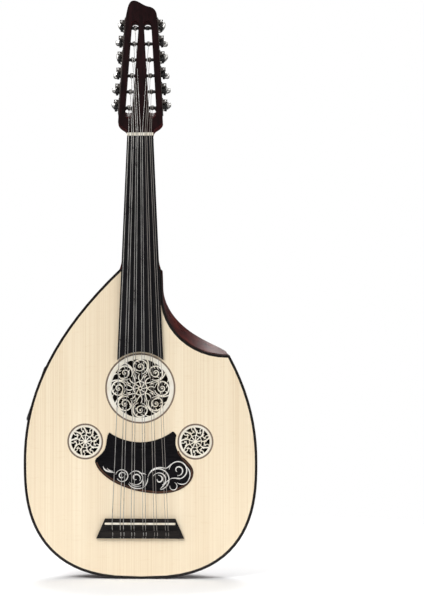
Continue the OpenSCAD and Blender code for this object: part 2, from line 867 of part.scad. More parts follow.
// Circuit board behind the plate, with a pot under each knob
module preamp_board() {
    color("darkgreen")
        on_side() {
            translate([-14, -17, -13]) cube([28, 56, 1.6]);
            for (y = knob_places) translate([-5, y - 5, -11.5]) cube([10, 10, 7.5]);
            translate([3, 30, -11.5]) cube([6, 6, 7.5]);
        }
}

module output_jack() {
    color("silver")
        difference() {
            union() {
                translate([0, jack_y, gap]) cylinder(r = jack_flange_r, h = jack_recess - gap);
                translate([0, jack_y, gap]) cylinder(r = jack_r, h = 26);
            }
            translate([0, jack_y, -1]) cylinder(r = jack_bore, h = 25);
        }
}

// Round lead swept along points
module lead(points, r = 1.1, sides = 6) {
    last = len(points) - 1;
    loft([for (i = [0:last])
        let (d = points[min(last, i + 1)] - points[max(0, i - 1)], t = d / norm(d),
            up = abs(t[2]) > 0.9 ? [1, 0, 0] : [0, 0, 1],
            a = cross(t, up) / norm(cross(t, up)), b = cross(t, a))
        [for (k = [0:sides - 1]) points[i] + r * (cos(360 * k / sides) * a + sin(360 * k / sides) * b)]]);
}

// Leads inside the body, from the preamp to the jack and from the pickup strip to the preamp
module internal_leads() {
    color([0.1, 0.1, 0.1]) {
        lead([[-106, 37, 244], [-98, 47, 226], [-84, 48, 200], [-66, 46, 160], [-44, 44, 110],
            [-22, 40, 64], [-6, 36, 40], [0, 34, 27]]);
        lead([[-114, 31, 260], [-100, 34, 244], [-74, 34, 218], [-58, 26, 180], [-52, 22, 140],
            [-50, 21, 108], [-49.3, 12, 94], [lead_x, 4, lead_z + 1.5], [lead_x, 1.5, lead_z],
            [lead_x, -2.9, lead_z]], 0.7);
    }
}

// ---------- assembly ----------

soundboard();
soundboard_binding();
soundboard_braces();
bowl_ribs();
rib_purfling();
tail_cap();
cutaway_side();
back_panel_upper();
back_panel_lower();
end_blocks();
neck();
fingerboard();
nut();
headstock();
tuner_plates();
bridge();
saddle();
pickup_strip();
wound_strings();
nylon_strings();
main_rosette();
small_rosettes();
rosette_rings();
pickguard();
pickguard_inlay();
preamp_case();
preamp_plate();
knob(knob_places[0]);  // knob_volume
knob(knob_places[1]);  // knob_bass
knob(knob_places[2]);  // knob_treble
preamp_button();
battery_door();
battery();
preamp_board();
output_jack();
internal_leads();
for (i = [0:tuners - 1]) {
    tuner_roller(-1, i);
    tuner_roller(1, i);
    tuner_key(-1, i);
    tuner_key(1, i);
}
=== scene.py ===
import json
import math

import bmesh
import bpy
from mathutils import Matrix, Vector


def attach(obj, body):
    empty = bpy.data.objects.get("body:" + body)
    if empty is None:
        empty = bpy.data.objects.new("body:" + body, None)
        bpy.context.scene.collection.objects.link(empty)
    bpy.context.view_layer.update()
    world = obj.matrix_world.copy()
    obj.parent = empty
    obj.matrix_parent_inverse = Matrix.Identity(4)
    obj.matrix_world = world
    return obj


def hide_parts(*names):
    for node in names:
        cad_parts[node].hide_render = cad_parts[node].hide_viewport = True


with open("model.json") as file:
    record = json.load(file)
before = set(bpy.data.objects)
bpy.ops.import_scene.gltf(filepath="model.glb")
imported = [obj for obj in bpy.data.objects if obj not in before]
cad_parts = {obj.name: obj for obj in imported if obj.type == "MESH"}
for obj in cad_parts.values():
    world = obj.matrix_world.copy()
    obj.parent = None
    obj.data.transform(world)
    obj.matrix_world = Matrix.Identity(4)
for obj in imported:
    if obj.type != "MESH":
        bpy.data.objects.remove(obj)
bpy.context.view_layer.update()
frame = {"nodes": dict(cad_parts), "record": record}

MM = 0.001
NODES = frame["nodes"]
RECORD = frame["record"]
BODY_OF = {n: body for body, names in RECORD["behaviour"]["bodies"].items() for n in names}

scene = bpy.context.scene
scene.view_settings.view_transform = "Standard"

# Driving dimensions of the object, in millimetres
BODY_HALF_W = 176
WIDEST_Z = 176
JOINT_Z = 466
BOWL_DEPTH = 97
APEX_Z = WIDEST_Z + 318
DEPTH_APEX_Z = WIDEST_Z + 344.5
DEPTH_POWER = 1.81
RIBS = 16
RIB_T = 2.6
PURFLING_HALF = 0.5
BINDING_D = 3.2
PANEL_Y = 75
BACK_Y = 78
PANEL_SEAM_Z = 252
TAIL_CAP_H = 16
CUT_X, CUT_Z, CUT_A, CUT_B = 130, 425, 96, 89
CUT_LEAN = math.radians(23)
NUT_Z = 667
HEAD_Z = 672
NUT_W = 39.7
TAPER = 0.0435
HEAD_TILT = math.radians(13)
HEAD_T = 18
ROSE_Z, ROSE_R = 286, 50.5
SMALL_X, SMALL_Z, SMALL_R = 83, 206, 24.6
RING_W = 2.5
TUNERS = 6
FIRST_TUNER, TUNER_PITCH = 43, 26
SLOT_W = 11.4
ROLLER_Y, ROLLER_R, WINDING_R = 9, 2.5, 3.3
WORM_GAP = 8.1
BASS_TURNS = [35, 12, -20, 64, 8, 50]
TREBLE_TURNS = [-30, -8, 24, -42, 15, -58]
SADDLE_X = [-41.8, -29.7, -24.9, -13.3, -9, 4.3, 8.3, 20.9, 25.1, 38, 42]
NUT_X = [-17.2, -12.6, -10, -5.9, -3.3, 0.8, 3.4, 7.5, 10.1, 14.2, 16.8]
STRING_R = [0.55, 0.5, 0.5, 0.45, 0.45, 0.42, 0.42, 0.38, 0.38, 0.33, 0.33]
WOUND = 7
BASS_STRINGS = 6
SADDLE_Z = 82
CHANNEL_GAP = 0.45
EASED_STRING, MOUTH_R, MOUTH_Z = 9, 2.3, 708.9
TAIL_POWER_W, TAIL_POWER_D = 2.6, 4.7
NECK_D_LOW, NECK_D_HIGH = 26, 19
NECK_FLARE, NECK_FLARE_H = 2.6, 16
VOLUTE_Z = 662
PREAMP_Z, PREAMP_ANGLE = 275, math.radians(21)
PREAMP_W, PREAMP_L = 38, 88
KNOB_Y = {"knob_volume": 20.5, "knob_bass": 4, "knob_treble": -12.5}
INLAY_Y, INLAY_BACK_Y = -1.22, -0.9
GUARD_LINE, GUARD_LINE_Y, GUARD_LINE_BACK_Y = (1.0, 3.6), -1.04, -0.8


# ---------- camera ----------

def add_camera():
    data = bpy.data.cameras.new("camera")
    data.sensor_width = 36
    data.lens = 113.7
    data.shift_x = 0.1187
    data.shift_y = -0.0225
    data.clip_end = 50
    camera = bpy.data.objects.new("camera", data)
    scene.collection.objects.link(camera)
    azimuth, elevation, distance = math.radians(2.16), math.radians(-1.63), 2.878
    target = Vector((0, 0.02, 0.44))
    back = Vector((
        math.sin(azimuth) * math.cos(elevation),
        -math.cos(azimuth) * math.cos(elevation),
        math.sin(elevation)))
    camera.location = target + back * distance
    camera.rotation_euler = (-back).to_track_quat("-Z", "Y").to_euler()
    scene.camera = camera


add_camera()


# ---------- mesh helpers ----------

def new_object(name, verts, faces, smooth_angle=35):
    """A mesh object from points in millimetres."""
    mesh = bpy.data.meshes.new(name)
    mesh.from_pydata([tuple(c * MM for c in v) for v in verts], [], faces)
    obj = bpy.data.objects.new(name, mesh)
    scene.collection.objects.link(obj)
    tidy(obj, smooth_angle)
    return obj


def tidy(obj, smooth_angle=35):
    """Welds the mesh, turns its faces outward and shades it smooth below an angle."""
    bm = bmesh.new()
    bm.from_mesh(obj.data)
    bmesh.ops.remove_doubles(bm, verts=bm.verts, dist=2e-6)
    bmesh.ops.recalc_face_normals(bm, faces=bm.faces)
    bm.to_mesh(obj.data)
    bm.free()
    shade(obj, smooth_angle)


def shade(obj, smooth_angle=35):
    obj.data.shade_smooth()
    obj.data.set_sharp_from_angle(angle=math.radians(smooth_angle))


def flatten(obj):
    """Keeps large faces evenly lit up to their rounded edges."""
    modifier = obj.modifiers.new("normals", "WEIGHTED_NORMAL")
    modifier.mode = "FACE_AREA"
    modifier.weight = 100
    modifier.keep_sharp = True
    return bake(obj)


def bake(obj):
    """Applies the object's modifiers."""
    depsgraph = bpy.context.evaluated_depsgraph_get()
    mesh = bpy.data.meshes.new_from_object(obj.evaluated_get(depsgraph))
    obj.modifiers.clear()
    old = obj.data
    obj.data = mesh
    bpy.data.meshes.remove(old)
    return obj


def boolean(obj, cutter, operation="DIFFERENCE"):
    modifier = obj.modifiers.new("cut", "BOOLEAN")
    modifier.operation = operation
    modifier.solver = "EXACT"
    modifier.object = cutter
    bake(obj)
    bpy.data.objects.remove(cutter)
    return obj


def bevel(obj, width, segments=2, angle=35):
    """Rounds the edges sharper than an angle by width millimetres."""
    modifier = obj.modifiers.new("bevel", "BEVEL")
    modifier.width = width * MM
    modifier.segments = segments
    modifier.limit_method = "ANGLE"
    modifier.angle_limit = math.radians(angle)
    modifier.harden_normals = True
    modifier.use_clamp_overlap = True
    return bake(obj)


BOX_FACES = [(0, 1, 3, 2), (4, 6, 7, 5), (0, 4, 5, 1), (2, 3, 7, 6), (0, 2, 6, 4), (1, 5, 7, 3)]


def box_object(low, high, place=None):
    verts = [
        Vector((x, y, z))
        for x in (low[0], high[0]) for y in (low[1], high[1]) for z in (low[2], high[2])]
    if place:
        verts = [place @ v for v in verts]
    return new_object("cutter", verts, BOX_FACES)


def loft_faces(rings, sides, caps=True, base=0):
    """Faces of a loft through rings of sides points each."""
    faces = []
    for i in range(rings - 1):
        for j in range(sides):
            k = (j + 1) % sides
            a, b = base + i * sides, base + (i + 1) * sides
            faces.append((a + j, a + k, b + k, b + j))
    if caps:
        faces.append(tuple(base + j for j in range(sides)))
        faces.append(tuple(base + (rings - 1) * sides + j for j in reversed(range(sides))))
    return faces


class Shape:
    """Several closed lofts gathered into one mesh."""

    def __init__(self):
        self.verts = []
        self.faces = []

    def loft(self, rings, caps=True):
        self.faces += loft_faces(len(rings), len(rings[0]), caps, len(self.verts))
        for ring in rings:
            self.verts += [tuple(p) for p in ring]
        return self

    def build(self, name, smooth_angle=35):
        return new_object(name, self.verts, self.faces, smooth_angle)


def solid(name, rings):
    """One closed loft as an object."""
    return Shape().loft(rings).build(name)


def tube_rings(points, radius, sides=12):
    """Rings of a round bar that follows points."""
    points = [Vector(p) for p in points]
    rings = []
    normal = None
    for i, p in enumerate(points):
        tangent = (points[min(i + 1, len(points) - 1)] - points[max(i - 1, 0)]).normalized()
        if normal is None:
            seed = Vector((1, 0, 0)) if abs(tangent.x) < 0.9 else Vector((0, 1, 0))
            normal = (seed - tangent * seed.dot(tangent)).normalized()
        else:
            normal = (normal - tangent * normal.dot(tangent)).normalized()
        side = tangent.cross(normal)
        rings.append([
            p + radius * (math.cos(math.tau * k / sides) * normal + math.sin(math.tau * k / sides) * side)
            for k in range(sides)])
    return rings


def lathe(profile, place, sides=32, wobble=None):
    """Rings of a turned piece: profile of (radius, height) pairs, placed by a matrix."""
    rings = []
    for radius, height in profile:
        ring = []
        for k in range(sides):
            a = math.tau * k / sides
            r = radius * (wobble(k, height) if wobble else 1)
            ring.append(place @ Vector((r * math.cos(a), r * math.sin(a), height)))
        rings.append(ring)
    return rings


def extrude_y(outline, y0, y1, name):
    """Plate with an outline in x and z between two depths."""
    n = len(outline)
    verts = [(x, y0, z) for x, z in outline] + [(x, y1, z) for x, z in outline]
    faces = [tuple(range(n)), tuple(range(2 * n - 1, n - 1, -1))]
    faces += [(i, n + i, n + (i + 1) % n, (i + 1) % n) for i in range(n)]
    return new_object(name, verts, faces)


def bezier(a, b, c, d, steps=16):
    """Points of a cubic curve after its first point."""
    out = []
    for i in range(1, steps + 1):
        t = i / steps
        s = 1 - t
        out.append(tuple(
            s ** 3 * a[j] + 3 * s * s * t * b[j] + 3 * s * t * t * c[j] + t ** 3 * d[j] for j in range(2)))
    return out


def curve(a, b, c, d, steps=16):
    """Points of a cubic curve from end to end."""
    return [a] + bezier(a, b, c, d, steps)


def place_piece(obj, material, *nodes, body=None, inner=None):
    """Gives a finished piece its material and body, and hides the CAD nodes that it stands for."""
    obj.data.materials.clear()
    obj.data.materials.append(material)
    if inner:
        obj.data.materials.append(inner)
    if nodes:
        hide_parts(*nodes)
    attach(obj, body or BODY_OF[nodes[0]])
    return obj


def softened(node, width, material, segments=2, angle=35):
    """A copy of a CAD node with its edges rounded, which stands for it."""
    mesh = NODES[node].data.copy()
    obj = bpy.data.objects.new(node + "_finish", mesh)
    scene.collection.objects.link(obj)
    bm = bmesh.new()
    bm.from_mesh(mesh)
    bmesh.ops.remove_doubles(bm, verts=bm.verts, dist=1e-5)
    bmesh.ops.dissolve_limit(bm, angle_limit=math.radians(1.0), verts=bm.verts, edges=bm.edges)
    bmesh.ops.recalc_face_normals(bm, faces=bm.faces)
    bm.to_mesh(mesh)
    bm.free()
    shade(obj, angle)
    if width:
        bevel(obj, width, segments, angle)
    return place_piece(obj, material, node)


# ---------- materials ----------

class Material:
    """A Principled material whose colour, roughness and bump come from procedural nodes."""

    def __init__(self, name, roughness=0.5, metallic=0.0, coat=0.0, coat_roughness=0.1, specular=0.5):
        self.material = bpy.data.materials.new(name)
        self.material.use_nodes = True
        self.tree = self.material.node_tree
        self.shader = self.tree.nodes["Principled BSDF"]
        for key, value in (
                ("Roughness", roughness), ("Metallic", metallic), ("Coat Weight", coat),
                ("Coat Roughness", coat_roughness), ("Specular IOR Level", specular)):
            self.shader.inputs[key].default_value = value
        self.coords = self.tree.nodes.new("ShaderNodeTexCoord").outputs["Object"]

    def node(self, kind, **settings):
        node = self.tree.nodes.new(kind)
        for key, value in settings.items():
            setattr(node, key, value)
        return node

    def link(self, a, b):
        self.tree.links.new(a, b)

    def noise(self, scale, detail=4.0, rough=0.55, distort=0.0):
        """Noise whose size is set apart along each axis of the object."""
        mapping = self.node("ShaderNodeMapping")
        mapping.inputs["Scale"].default_value = scale
        self.link(self.coords, mapping.inputs["Vector"])
        node = self.node("ShaderNodeTexNoise")
        node.inputs["Scale"].default_value = 1.0
        node.inputs["Detail"].default_value = detail
        node.inputs["Roughness"].default_value = rough
        node.inputs["Distortion"].default_value = distort
        self.link(mapping.outputs["Vector"], node.inputs["Vector"])
        return node.outputs["Fac"]

    def ramp(self, value, stops):
        node = self.node("ShaderNodeValToRGB")
        elements = node.color_ramp.elements
        while len(elements) < len(stops):
            elements.new(0.5)
        for element, (place, colour) in zip(elements, stops):
            element.position = place
            element.color = (*colour, 1)
        self.link(value, node.inputs["Fac"])
        return node.outputs["Color"]

    def span(self, value, low, high, start=0.3, end=0.7):
        """A value from start to end spread between low and high."""
        node = self.node("ShaderNodeMapRange")
        node.inputs["From Min"].default_value = start
        node.inputs["From Max"].default_value = end
        node.inputs["To Min"].default_value = low
        node.inputs["To Max"].default_value = high
        self.link(value, node.inputs["Value"])
        return node.outputs["Result"]

    def mix(self, a, b, factor, mode="MIX"):
        node = self.node("ShaderNodeMix", data_type="RGBA", blend_type=mode)
        for socket, value in ((node.inputs[0], factor), (node.inputs[6], a), (node.inputs[7], b)):
            if isinstance(value, (int, float)):
                socket.default_value = value
            elif isinstance(value, tuple):
                socket.default_value = (*value, 1)
            else:
                self.link(value, socket)
        return node.outputs[2]

    def colour(self, socket):
        self.link(socket, self.shader.inputs["Base Color"])

    def rough(self, socket):
        self.link(socket, self.shader.inputs["Roughness"])

    def patchy(self, scale, detail, low, high):
        """Roughness that drifts between low and high."""
        self.rough(self.span(self.noise(scale, detail=detail), low, high))

    def bump(self, height, strength, distance):
        node = self.node("ShaderNodeBump")
        node.inputs["Strength"].default_value = strength
        node.inputs["Distance"].default_value = distance
        self.link(height, node.inputs["Height"])
        self.link(node.outputs["Normal"], self.shader.inputs["Normal"])


def spruce():
    """Pale quarter-sawn soundboard: fine upright grain, broad colour bands and faint cross silk."""
    m = Material("spruce", roughness=0.42, coat=0.35, coat_roughness=0.28)
    fine = m.noise((620, 30, 2.2), detail=3, rough=0.5, distort=0.15)
    lines = m.ramp(fine, [(0.36, (0.72, 0.56, 0.36)), (0.5, (0.83, 0.69, 0.49)), (0.62, (0.88, 0.76, 0.565))])
    broad = m.noise((26, 8, 0.9), detail=3, rough=0.6)
    bands = m.ramp(broad, [(0.3, (0.79, 0.64, 0.455)), (0.5, (0.87, 0.74, 0.55)), (0.7, (0.91, 0.79, 0.60))])
    wood = m.mix(lines, bands, 0.55)
    silk = m.noise((46, 20, 300), detail=2)
    flecks = m.ramp(silk, [(0.58, (1, 1, 1)), (0.7, (0.95, 0.92, 0.88))])
    m.colour(m.mix(wood, flecks, 0.5, "MULTIPLY"))
    m.patchy((9, 9, 9), 5, 0.36, 0.52)
    m.bump(fine, 0.12, 0.0001)
    return m.material


def dark_wood(
        name, dark, light, grain=(300, 300, 5), roughness=(0.3, 0.5), coat=0.0, coat_roughness=0.15,
        bump=0.25, specular=0.35):
    """Close-grained dark wood with pores drawn out along the grain."""
    m = Material(name, coat=coat, coat_roughness=coat_roughness, specular=specular)
    streaks = m.noise(grain, detail=6, rough=0.65, distort=0.3)
    middle = tuple((a + b) / 2 for a, b in zip(dark, light))
    wood = m.ramp(streaks, [(0.34, dark), (0.56, middle), (0.74, light)])
    patch = m.noise((14, 14, 4), detail=3)
    tone = m.ramp(patch, [(0.3, (0.72, 0.72, 0.72)), (0.7, (1.15, 1.12, 1.1))])
    m.colour(m.mix(wood, tone, 1.0, "MULTIPLY"))
    m.patchy((24, 24, 12), 5, *roughness)
    pores = m.noise(tuple(g * 2.2 for g in grain), detail=3)
    m.bump(pores, bump, 0.00012)
    return m.material


def rib_wood(name, coat, coat_roughness):
    """Dark glossy rosewood whose figure and tone change from rib to rib."""
    m = Material(name, coat=coat, coat_roughness=coat_roughness, specular=0.05)
    rib = m.node("ShaderNodeAttribute", attribute_name="rib").outputs["Fac"]
    offset = m.node("ShaderNodeCombineXYZ")
    m.link(m.span(rib, 0, 9, 0, 1), offset.inputs["X"])
    m.link(m.span(rib, 0, 5, 0, 1), offset.inputs["Z"])
    shifted = m.node("ShaderNodeVectorMath", operation="ADD")
    m.link(m.coords, shifted.inputs[0])
    m.link(offset.outputs["Vector"], shifted.inputs[1])
    own = m.coords
    m.coords = shifted.outputs["Vector"]
    streaks = m.noise((85, 85, 3.2), detail=6, rough=0.6, distort=0.5)
    wood = m.ramp(streaks, [
        (0.30, (0.016, 0.0016, 0.0017)), (0.47, (0.038, 0.0036, 0.0032)),
        (0.6, (0.066, 0.0076, 0.0053)), (0.75, (0.104, 0.016, 0.009))])
    m.coords = own
    tone = m.ramp(rib, [
        (0.0, (0.82, 0.80, 0.80)), (0.35, (1.1, 1.05, 1.0)),
        (0.6, (0.75, 0.72, 0.74)), (1.0, (1.0, 0.98, 0.96))])
    m.colour(m.mix(wood, tone, 1.0, "MULTIPLY"))
    m.patchy((30, 30, 30), 5, 0.22, 0.38)
    m.bump(m.noise((260, 260, 10), detail=3), 0.08, 0.0001)
    return m.material


def panel_wood(name, shift):
    """Orange-brown ribbon-striped back board under a satin finish."""
    m = Material(name, coat=0.5, coat_roughness=0.1, specular=0.1)
    mapping = m.node("ShaderNodeMapping")
    mapping.inputs["Location"].default_value = (shift, 0, shift * 0.4)
    mapping.inputs["Scale"].default_value = (1, 1, 0.16)
    m.link(m.coords, mapping.inputs["Vector"])
    wave = m.node("ShaderNodeTexWave", wave_type="BANDS", bands_direction="X", wave_profile="SIN")
    wave.inputs["Scale"].default_value = 8.6
    wave.inputs["Distortion"].default_value = 3.4
    wave.inputs["Detail"].default_value = 3
    wave.inputs["Detail Scale"].default_value = 2.2
    m.link(mapping.outputs["Vector"], wave.inputs["Vector"])
    wood = m.ramp(wave.outputs["Fac"], [
        (0.0, (0.105, 0.017, 0.005)), (0.2, (0.175, 0.042, 0.013)), (0.45, (0.310, 0.096, 0.034)),
        (0.8, (0.400, 0.150, 0.060)), (1.0, (0.330, 0.108, 0.038))])
    streaks = m.noise((60, 12, 2.5), detail=5, rough=0.62, distort=0.35)
    tone = m.ramp(streaks, [(0.34, (0.62, 0.55, 0.5)), (0.5, (1, 1, 1)), (0.66, (1.18, 1.2, 1.22))])
    wood = m.mix(wood, tone, 0.75, "MULTIPLY")
    fine = m.noise((560, 60, 42), detail=3, rough=0.6)
    flecks = m.ramp(fine, [(0.36, (0.52, 0.44, 0.4)), (0.52, (1.0, 1.0, 1.0)), (0.66, (1.2, 1.22, 1.25))])
    m.colour(m.mix(wood, flecks, 0.8, "MULTIPLY"))
    m.patchy((14, 14, 14), 5, 0.3, 0.46)
    m.bump(fine, 0.1, 0.0001)
    return m.material


def neck_wood():
    """Red-brown neck with painted light: it pales to orange along the middle of its back as a painted
    highlight and darkens toward its sides as painted shade.
    """
    m = Material("neck_wood", coat=0.14, coat_roughness=0.14, specular=0.05)
    streaks = m.noise((240, 240, 3), detail=6, rough=0.6, distort=0.2)
    # Painted highlight and shade: middle holds the painted highlight of the crown of the back, edge the
    # painted shade of its sides.
    edge = m.ramp(streaks, [(0.35, (0.042, 0.006, 0.004)), (0.7, (0.110, 0.018, 0.010))])
    middle = m.ramp(streaks, [(0.35, (0.105, 0.028, 0.013)), (0.7, (0.235, 0.078, 0.034))])
    parts = m.node("ShaderNodeSeparateXYZ")
    m.link(m.coords, parts.inputs["Vector"])
    across = m.node("ShaderNodeMath", operation="ABSOLUTE")
    m.link(parts.outputs["X"], across.inputs[0])
    # Painted light: the colour goes from the painted highlight in the middle to the painted shade at the
    # sides with distance from the centre line.
    m.colour(m.mix(middle, edge, m.span(across.outputs[0], 0, 1, 0.003, 0.019)))
    m.patchy((40, 40, 20), 4, 0.26, 0.4)
    m.bump(m.noise((500, 500, 14), detail=3), 0.08, 0.0001)
    return m.material


def pale_stuff(name, light, dark, roughness=(0.25, 0.4), coat=0.0, scale=120, bump=0.08, metallic=0.0):
    """Bone, shell, celluloid or plastic with faint clouding and fine scratches."""
    m = Material(name, coat=coat, metallic=metallic)
    cloud = m.noise((scale, scale, scale * 0.6), detail=5, rough=0.6)
    m.colour(m.ramp(cloud, [(0.35, dark), (0.62, light)]))
    m.patchy((scale * 3, scale * 3, scale), 4, *roughness)
    m.bump(m.noise((scale * 8, scale * 8, scale * 8), detail=2), bump, 0.00005)
    return m.material


def metal(name, light, dark, roughness=(0.12, 0.3), brushed=(900, 900, 40), bump=0.06):
    """Plated metal with brushing and slight tarnish."""
    m = Material(name, metallic=1.0)
    stain = m.noise((90, 90, 90), detail=5, rough=0.65)
    m.colour(m.ramp(stain, [(0.32, dark), (0.6, light)]))
    brush = m.noise(brushed, detail=3)
    m.patchy((160, 160, 160), 4, *roughness)
    m.bump(brush, bump, 0.00004)
    return m.material


def wound_steel():
    """Silver windings round a string: close rings along its length."""
    m = Material("wound_steel", metallic=0.9)
    stain = m.noise((60, 60, 40), detail=4)
    m.colour(m.ramp(stain, [(0.35, (0.24, 0.23, 0.22)), (0.65, (0.44, 0.43, 0.41))]))
    m.rough(m.span(stain, 0.24, 0.4))
    wave = m.node("ShaderNodeTexWave", wave_type="BANDS", bands_direction="Z", wave_profile="SIN")
    wave.inputs["Scale"].default_value = 1100
    m.link(m.coords, wave.inputs["Vector"])
    m.bump(wave.outputs["Fac"], 0.5, 0.00008)
    return m.material


def nylon():
    """Smoky clear string."""
    m = Material("nylon", roughness=0.2, specular=0.6)
    cloud = m.noise((200, 200, 12), detail=3)
    m.colour(m.ramp(cloud, [(0.35, (0.17, 0.155, 0.14)), (0.65, (0.30, 0.275, 0.25))]))
    m.rough(m.span(cloud, 0.14, 0.26))
    m.bump(m.noise((900, 900, 120), detail=2), 0.05, 0.00003)
    return m.material


spruce_m = spruce()
binding_m = dark_wood(
    "binding_black", (0.005, 0.004, 0.004), (0.020, 0.016, 0.015), coat=0.12,
    coat_roughness=0.1, specular=0.2)
ebony_m = dark_wood(
    "fingerboard_black", (0.007, 0.007, 0.008), (0.022, 0.021, 0.024), roughness=(0.22, 0.34), specular=0.1)
bridge_m = dark_wood(
    "bridge_black", (0.006, 0.005, 0.005), (0.024, 0.019, 0.017), grain=(6, 260, 260), roughness=(0.32, 0.5),
    specular=0.2)
rib_m = rib_wood("rib_wood", 0.6, 0.14)
wall_m = rib_wood("cutaway_wood", 0.42, 0.32)
purfling_m = dark_wood(
    "purfling_tan", (0.10, 0.035, 0.022), (0.20, 0.075, 0.045), coat=0.6, coat_roughness=0.09,
    bump=0.08, specular=0.05)
panel_upper_m = panel_wood("panel_upper", 0.31)
panel_lower_m = panel_wood("panel_lower", 4.7)
neck_m = neck_wood()
head_m = dark_wood(
    "head_wood", (0.030, 0.0042, 0.0046), (0.100, 0.0130, 0.0140), grain=(190, 190, 4), roughness=(0.3, 0.45),
    coat=0.06, coat_roughness=0.12, bump=0.12, specular=0.05)
veneer_m = dark_wood(
    "head_veneer", (0.005, 0.0014, 0.0018), (0.020, 0.0046, 0.0056), grain=(190, 190, 4),
    roughness=(0.3, 0.45),
    coat=0.06, coat_roughness=0.12, bump=0.12, specular=0.05)
pale_wood_m = dark_wood("pale_wood", (0.42, 0.25, 0.12), (0.66, 0.45, 0.25), roughness=(0.55, 0.75))
bone_m = pale_stuff("bone", (0.84, 0.80, 0.70), (0.70, 0.62, 0.48), coat=0.3)
rosette_m = pale_stuff(
    "rosette_white", (0.86, 0.82, 0.73), (0.74, 0.67, 0.54), roughness=(0.3, 0.5), scale=60)
ring_m = dark_wood("rosette_ring", (0.16, 0.115, 0.085), (0.30, 0.235, 0.18), roughness=(0.35, 0.5), coat=0.4)
guard_m = dark_wood(
    "guard_black", (0.004, 0.004, 0.005), (0.013, 0.012, 0.014), grain=(40, 40, 260), roughness=(0.14, 0.24),
    coat=0.06, coat_roughness=0.1, specular=0.15)
guard_rim_m = dark_wood("guard_rim", (0.035, 0.012, 0.006), (0.11, 0.045, 0.02), grain=(90, 90, 90), coat=0.7)
inlay_m = pale_stuff("inlay_white", (0.82, 0.80, 0.76), (0.56, 0.55, 0.53), coat=0.6, scale=160)
wound_m = wound_steel()
nylon_m = nylon()
tuner_m = pale_stuff(
    "tuner_chrome", (0.80, 0.79, 0.77), (0.60, 0.585, 0.56), roughness=(0.18, 0.32), scale=90, metallic=0.75)
plate_m = metal("tuner_plate", (0.075, 0.066, 0.060), (0.030, 0.026, 0.024), roughness=(0.24, 0.42))
roller_m = pale_stuff(
    "roller_black", (0.022, 0.020, 0.020), (0.010, 0.009, 0.009), roughness=(0.3, 0.45), bump=0.15)
case_m = pale_stuff(
    "case_plastic", (0.022, 0.022, 0.024), (0.012, 0.012, 0.013), roughness=(0.34, 0.5), bump=0.2)
face_m = metal(
    "preamp_face", (0.10, 0.10, 0.105), (0.06, 0.06, 0.064), roughness=(0.3, 0.45), brushed=(60, 60, 1500))
knob_m = pale_stuff(
    "knob_plastic", (0.026, 0.026, 0.029), (0.014, 0.014, 0.016), roughness=(0.3, 0.45), bump=0.2)
battery_m = metal("battery_steel", (0.66, 0.66, 0.66), (0.45, 0.45, 0.46), roughness=(0.2, 0.35))
board_m = pale_stuff("board_green", (0.03, 0.13, 0.05), (0.015, 0.07, 0.03), roughness=(0.3, 0.5))
jack_m = metal("jack_metal", (0.74, 0.72, 0.68), (0.5, 0.47, 0.42))
lead_m = pale_stuff("lead_rubber", (0.03, 0.03, 0.03), (0.015, 0.015, 0.015), roughness=(0.5, 0.7))
brass_m = metal("pickup_brass", (0.62, 0.44, 0.18), (0.42, 0.28, 0.10), roughness=(0.25, 0.4))
lens_m = pale_stuff("lamp_red", (0.45, 0.02, 0.015), (0.25, 0.01, 0.01), roughness=(0.1, 0.2), coat=0.8)
inside_m = dark_wood("inside_wood", (0.012, 0.008, 0.006), (0.035, 0.024, 0.017), roughness=(0.8, 0.95))
mark_m = pale_stuff("mark_white", (0.80, 0.80, 0.78), (0.62, 0.62, 0.60), roughness=(0.4, 0.5))


# ---------- body ----------

def tail_curve(drop, power):
    return max(0.0, 1 - drop ** power) ** (1 / power)


def half_w(z):
    if z <= WIDEST_Z:
        return BODY_HALF_W * tail_curve((WIDEST_Z - z) / WIDEST_Z, TAIL_POWER_W)
    return BODY_HALF_W * (1 - ((z - WIDEST_Z) / (APEX_Z - WIDEST_Z)) ** 2.1)


def depth(z):
    if z <= WIDEST_Z:
        return BOWL_DEPTH * tail_curve((WIDEST_Z - z) / WIDEST_Z, TAIL_POWER_D)
    return BOWL_DEPTH * (1 - ((z - WIDEST_Z) / (DEPTH_APEX_Z - WIDEST_Z)) ** DEPTH_POWER)


LOWER_STEPS, UPPER_STEPS = 36, 40
STATIONS = [WIDEST_Z - WIDEST_Z * math.cos(math.pi / 2 * i / LOWER_STEPS) for i in range(LOWER_STEPS + 1)]
STATIONS += [WIDEST_Z + (JOINT_Z - WIDEST_Z) * i / UPPER_STEPS for i in range(1, UPPER_STEPS + 1)]


def bowl_point(z, angle, inward=0.0):
    """Point of the bowl at height z and angle, moved in by inward."""
    shape_z = max(z, 0.4)
    w, d = half_w(shape_z) - inward, depth(shape_z) - inward
    if z < WIDEST_Z:
        z = z + inward * (1 - z / WIDEST_Z) ** 2
    return (max(w, 0.1) * math.cos(angle), max(d, 0.1) * math.sin(angle), z)


def band_rings(a0, a1, across, crown=0.0, edge=0.0):
    """Rings of a strip of the shell between two angles, crowned along its middle."""
    rings = []
    for z in STATIONS:
        outer = []
        for j in range(across + 1):
            t = j / across
            rise = crown * (4 * t * (1 - t)) ** 0.8 - (edge if j in (0, across) else 0)
            outer.append(bowl_point(z, a0 + (a1 - a0) * t, -rise))
        inner = [bowl_point(z, a0 + (a1 - a0) * j / across, RIB_T) for j in range(across, -1, -1)]
        rings.append(outer + inner)
    return rings


def cut_curve(inward, steps=40):
    """Upright front edge of the cutaway, from the neck joint to the horn."""
    points = [(CUT_X - CUT_A - 1 - inward, JOINT_Z + 60), (CUT_X - CUT_A - inward, CUT_Z)]
    for i in range(1, steps + 1):
        a = math.pi / 2 * i / steps
        points.append((
            CUT_X - (CUT_A + inward) * math.cos(a), CUT_Z - (CUT_B + inward) * math.sin(a)))
    return points


def leaning(points, y):
    """Points in x and z carried to depth y along the cutaway's lean."""
    return [(x, y, z + y * math.tan(CUT_LEAN)) for x, z in points]


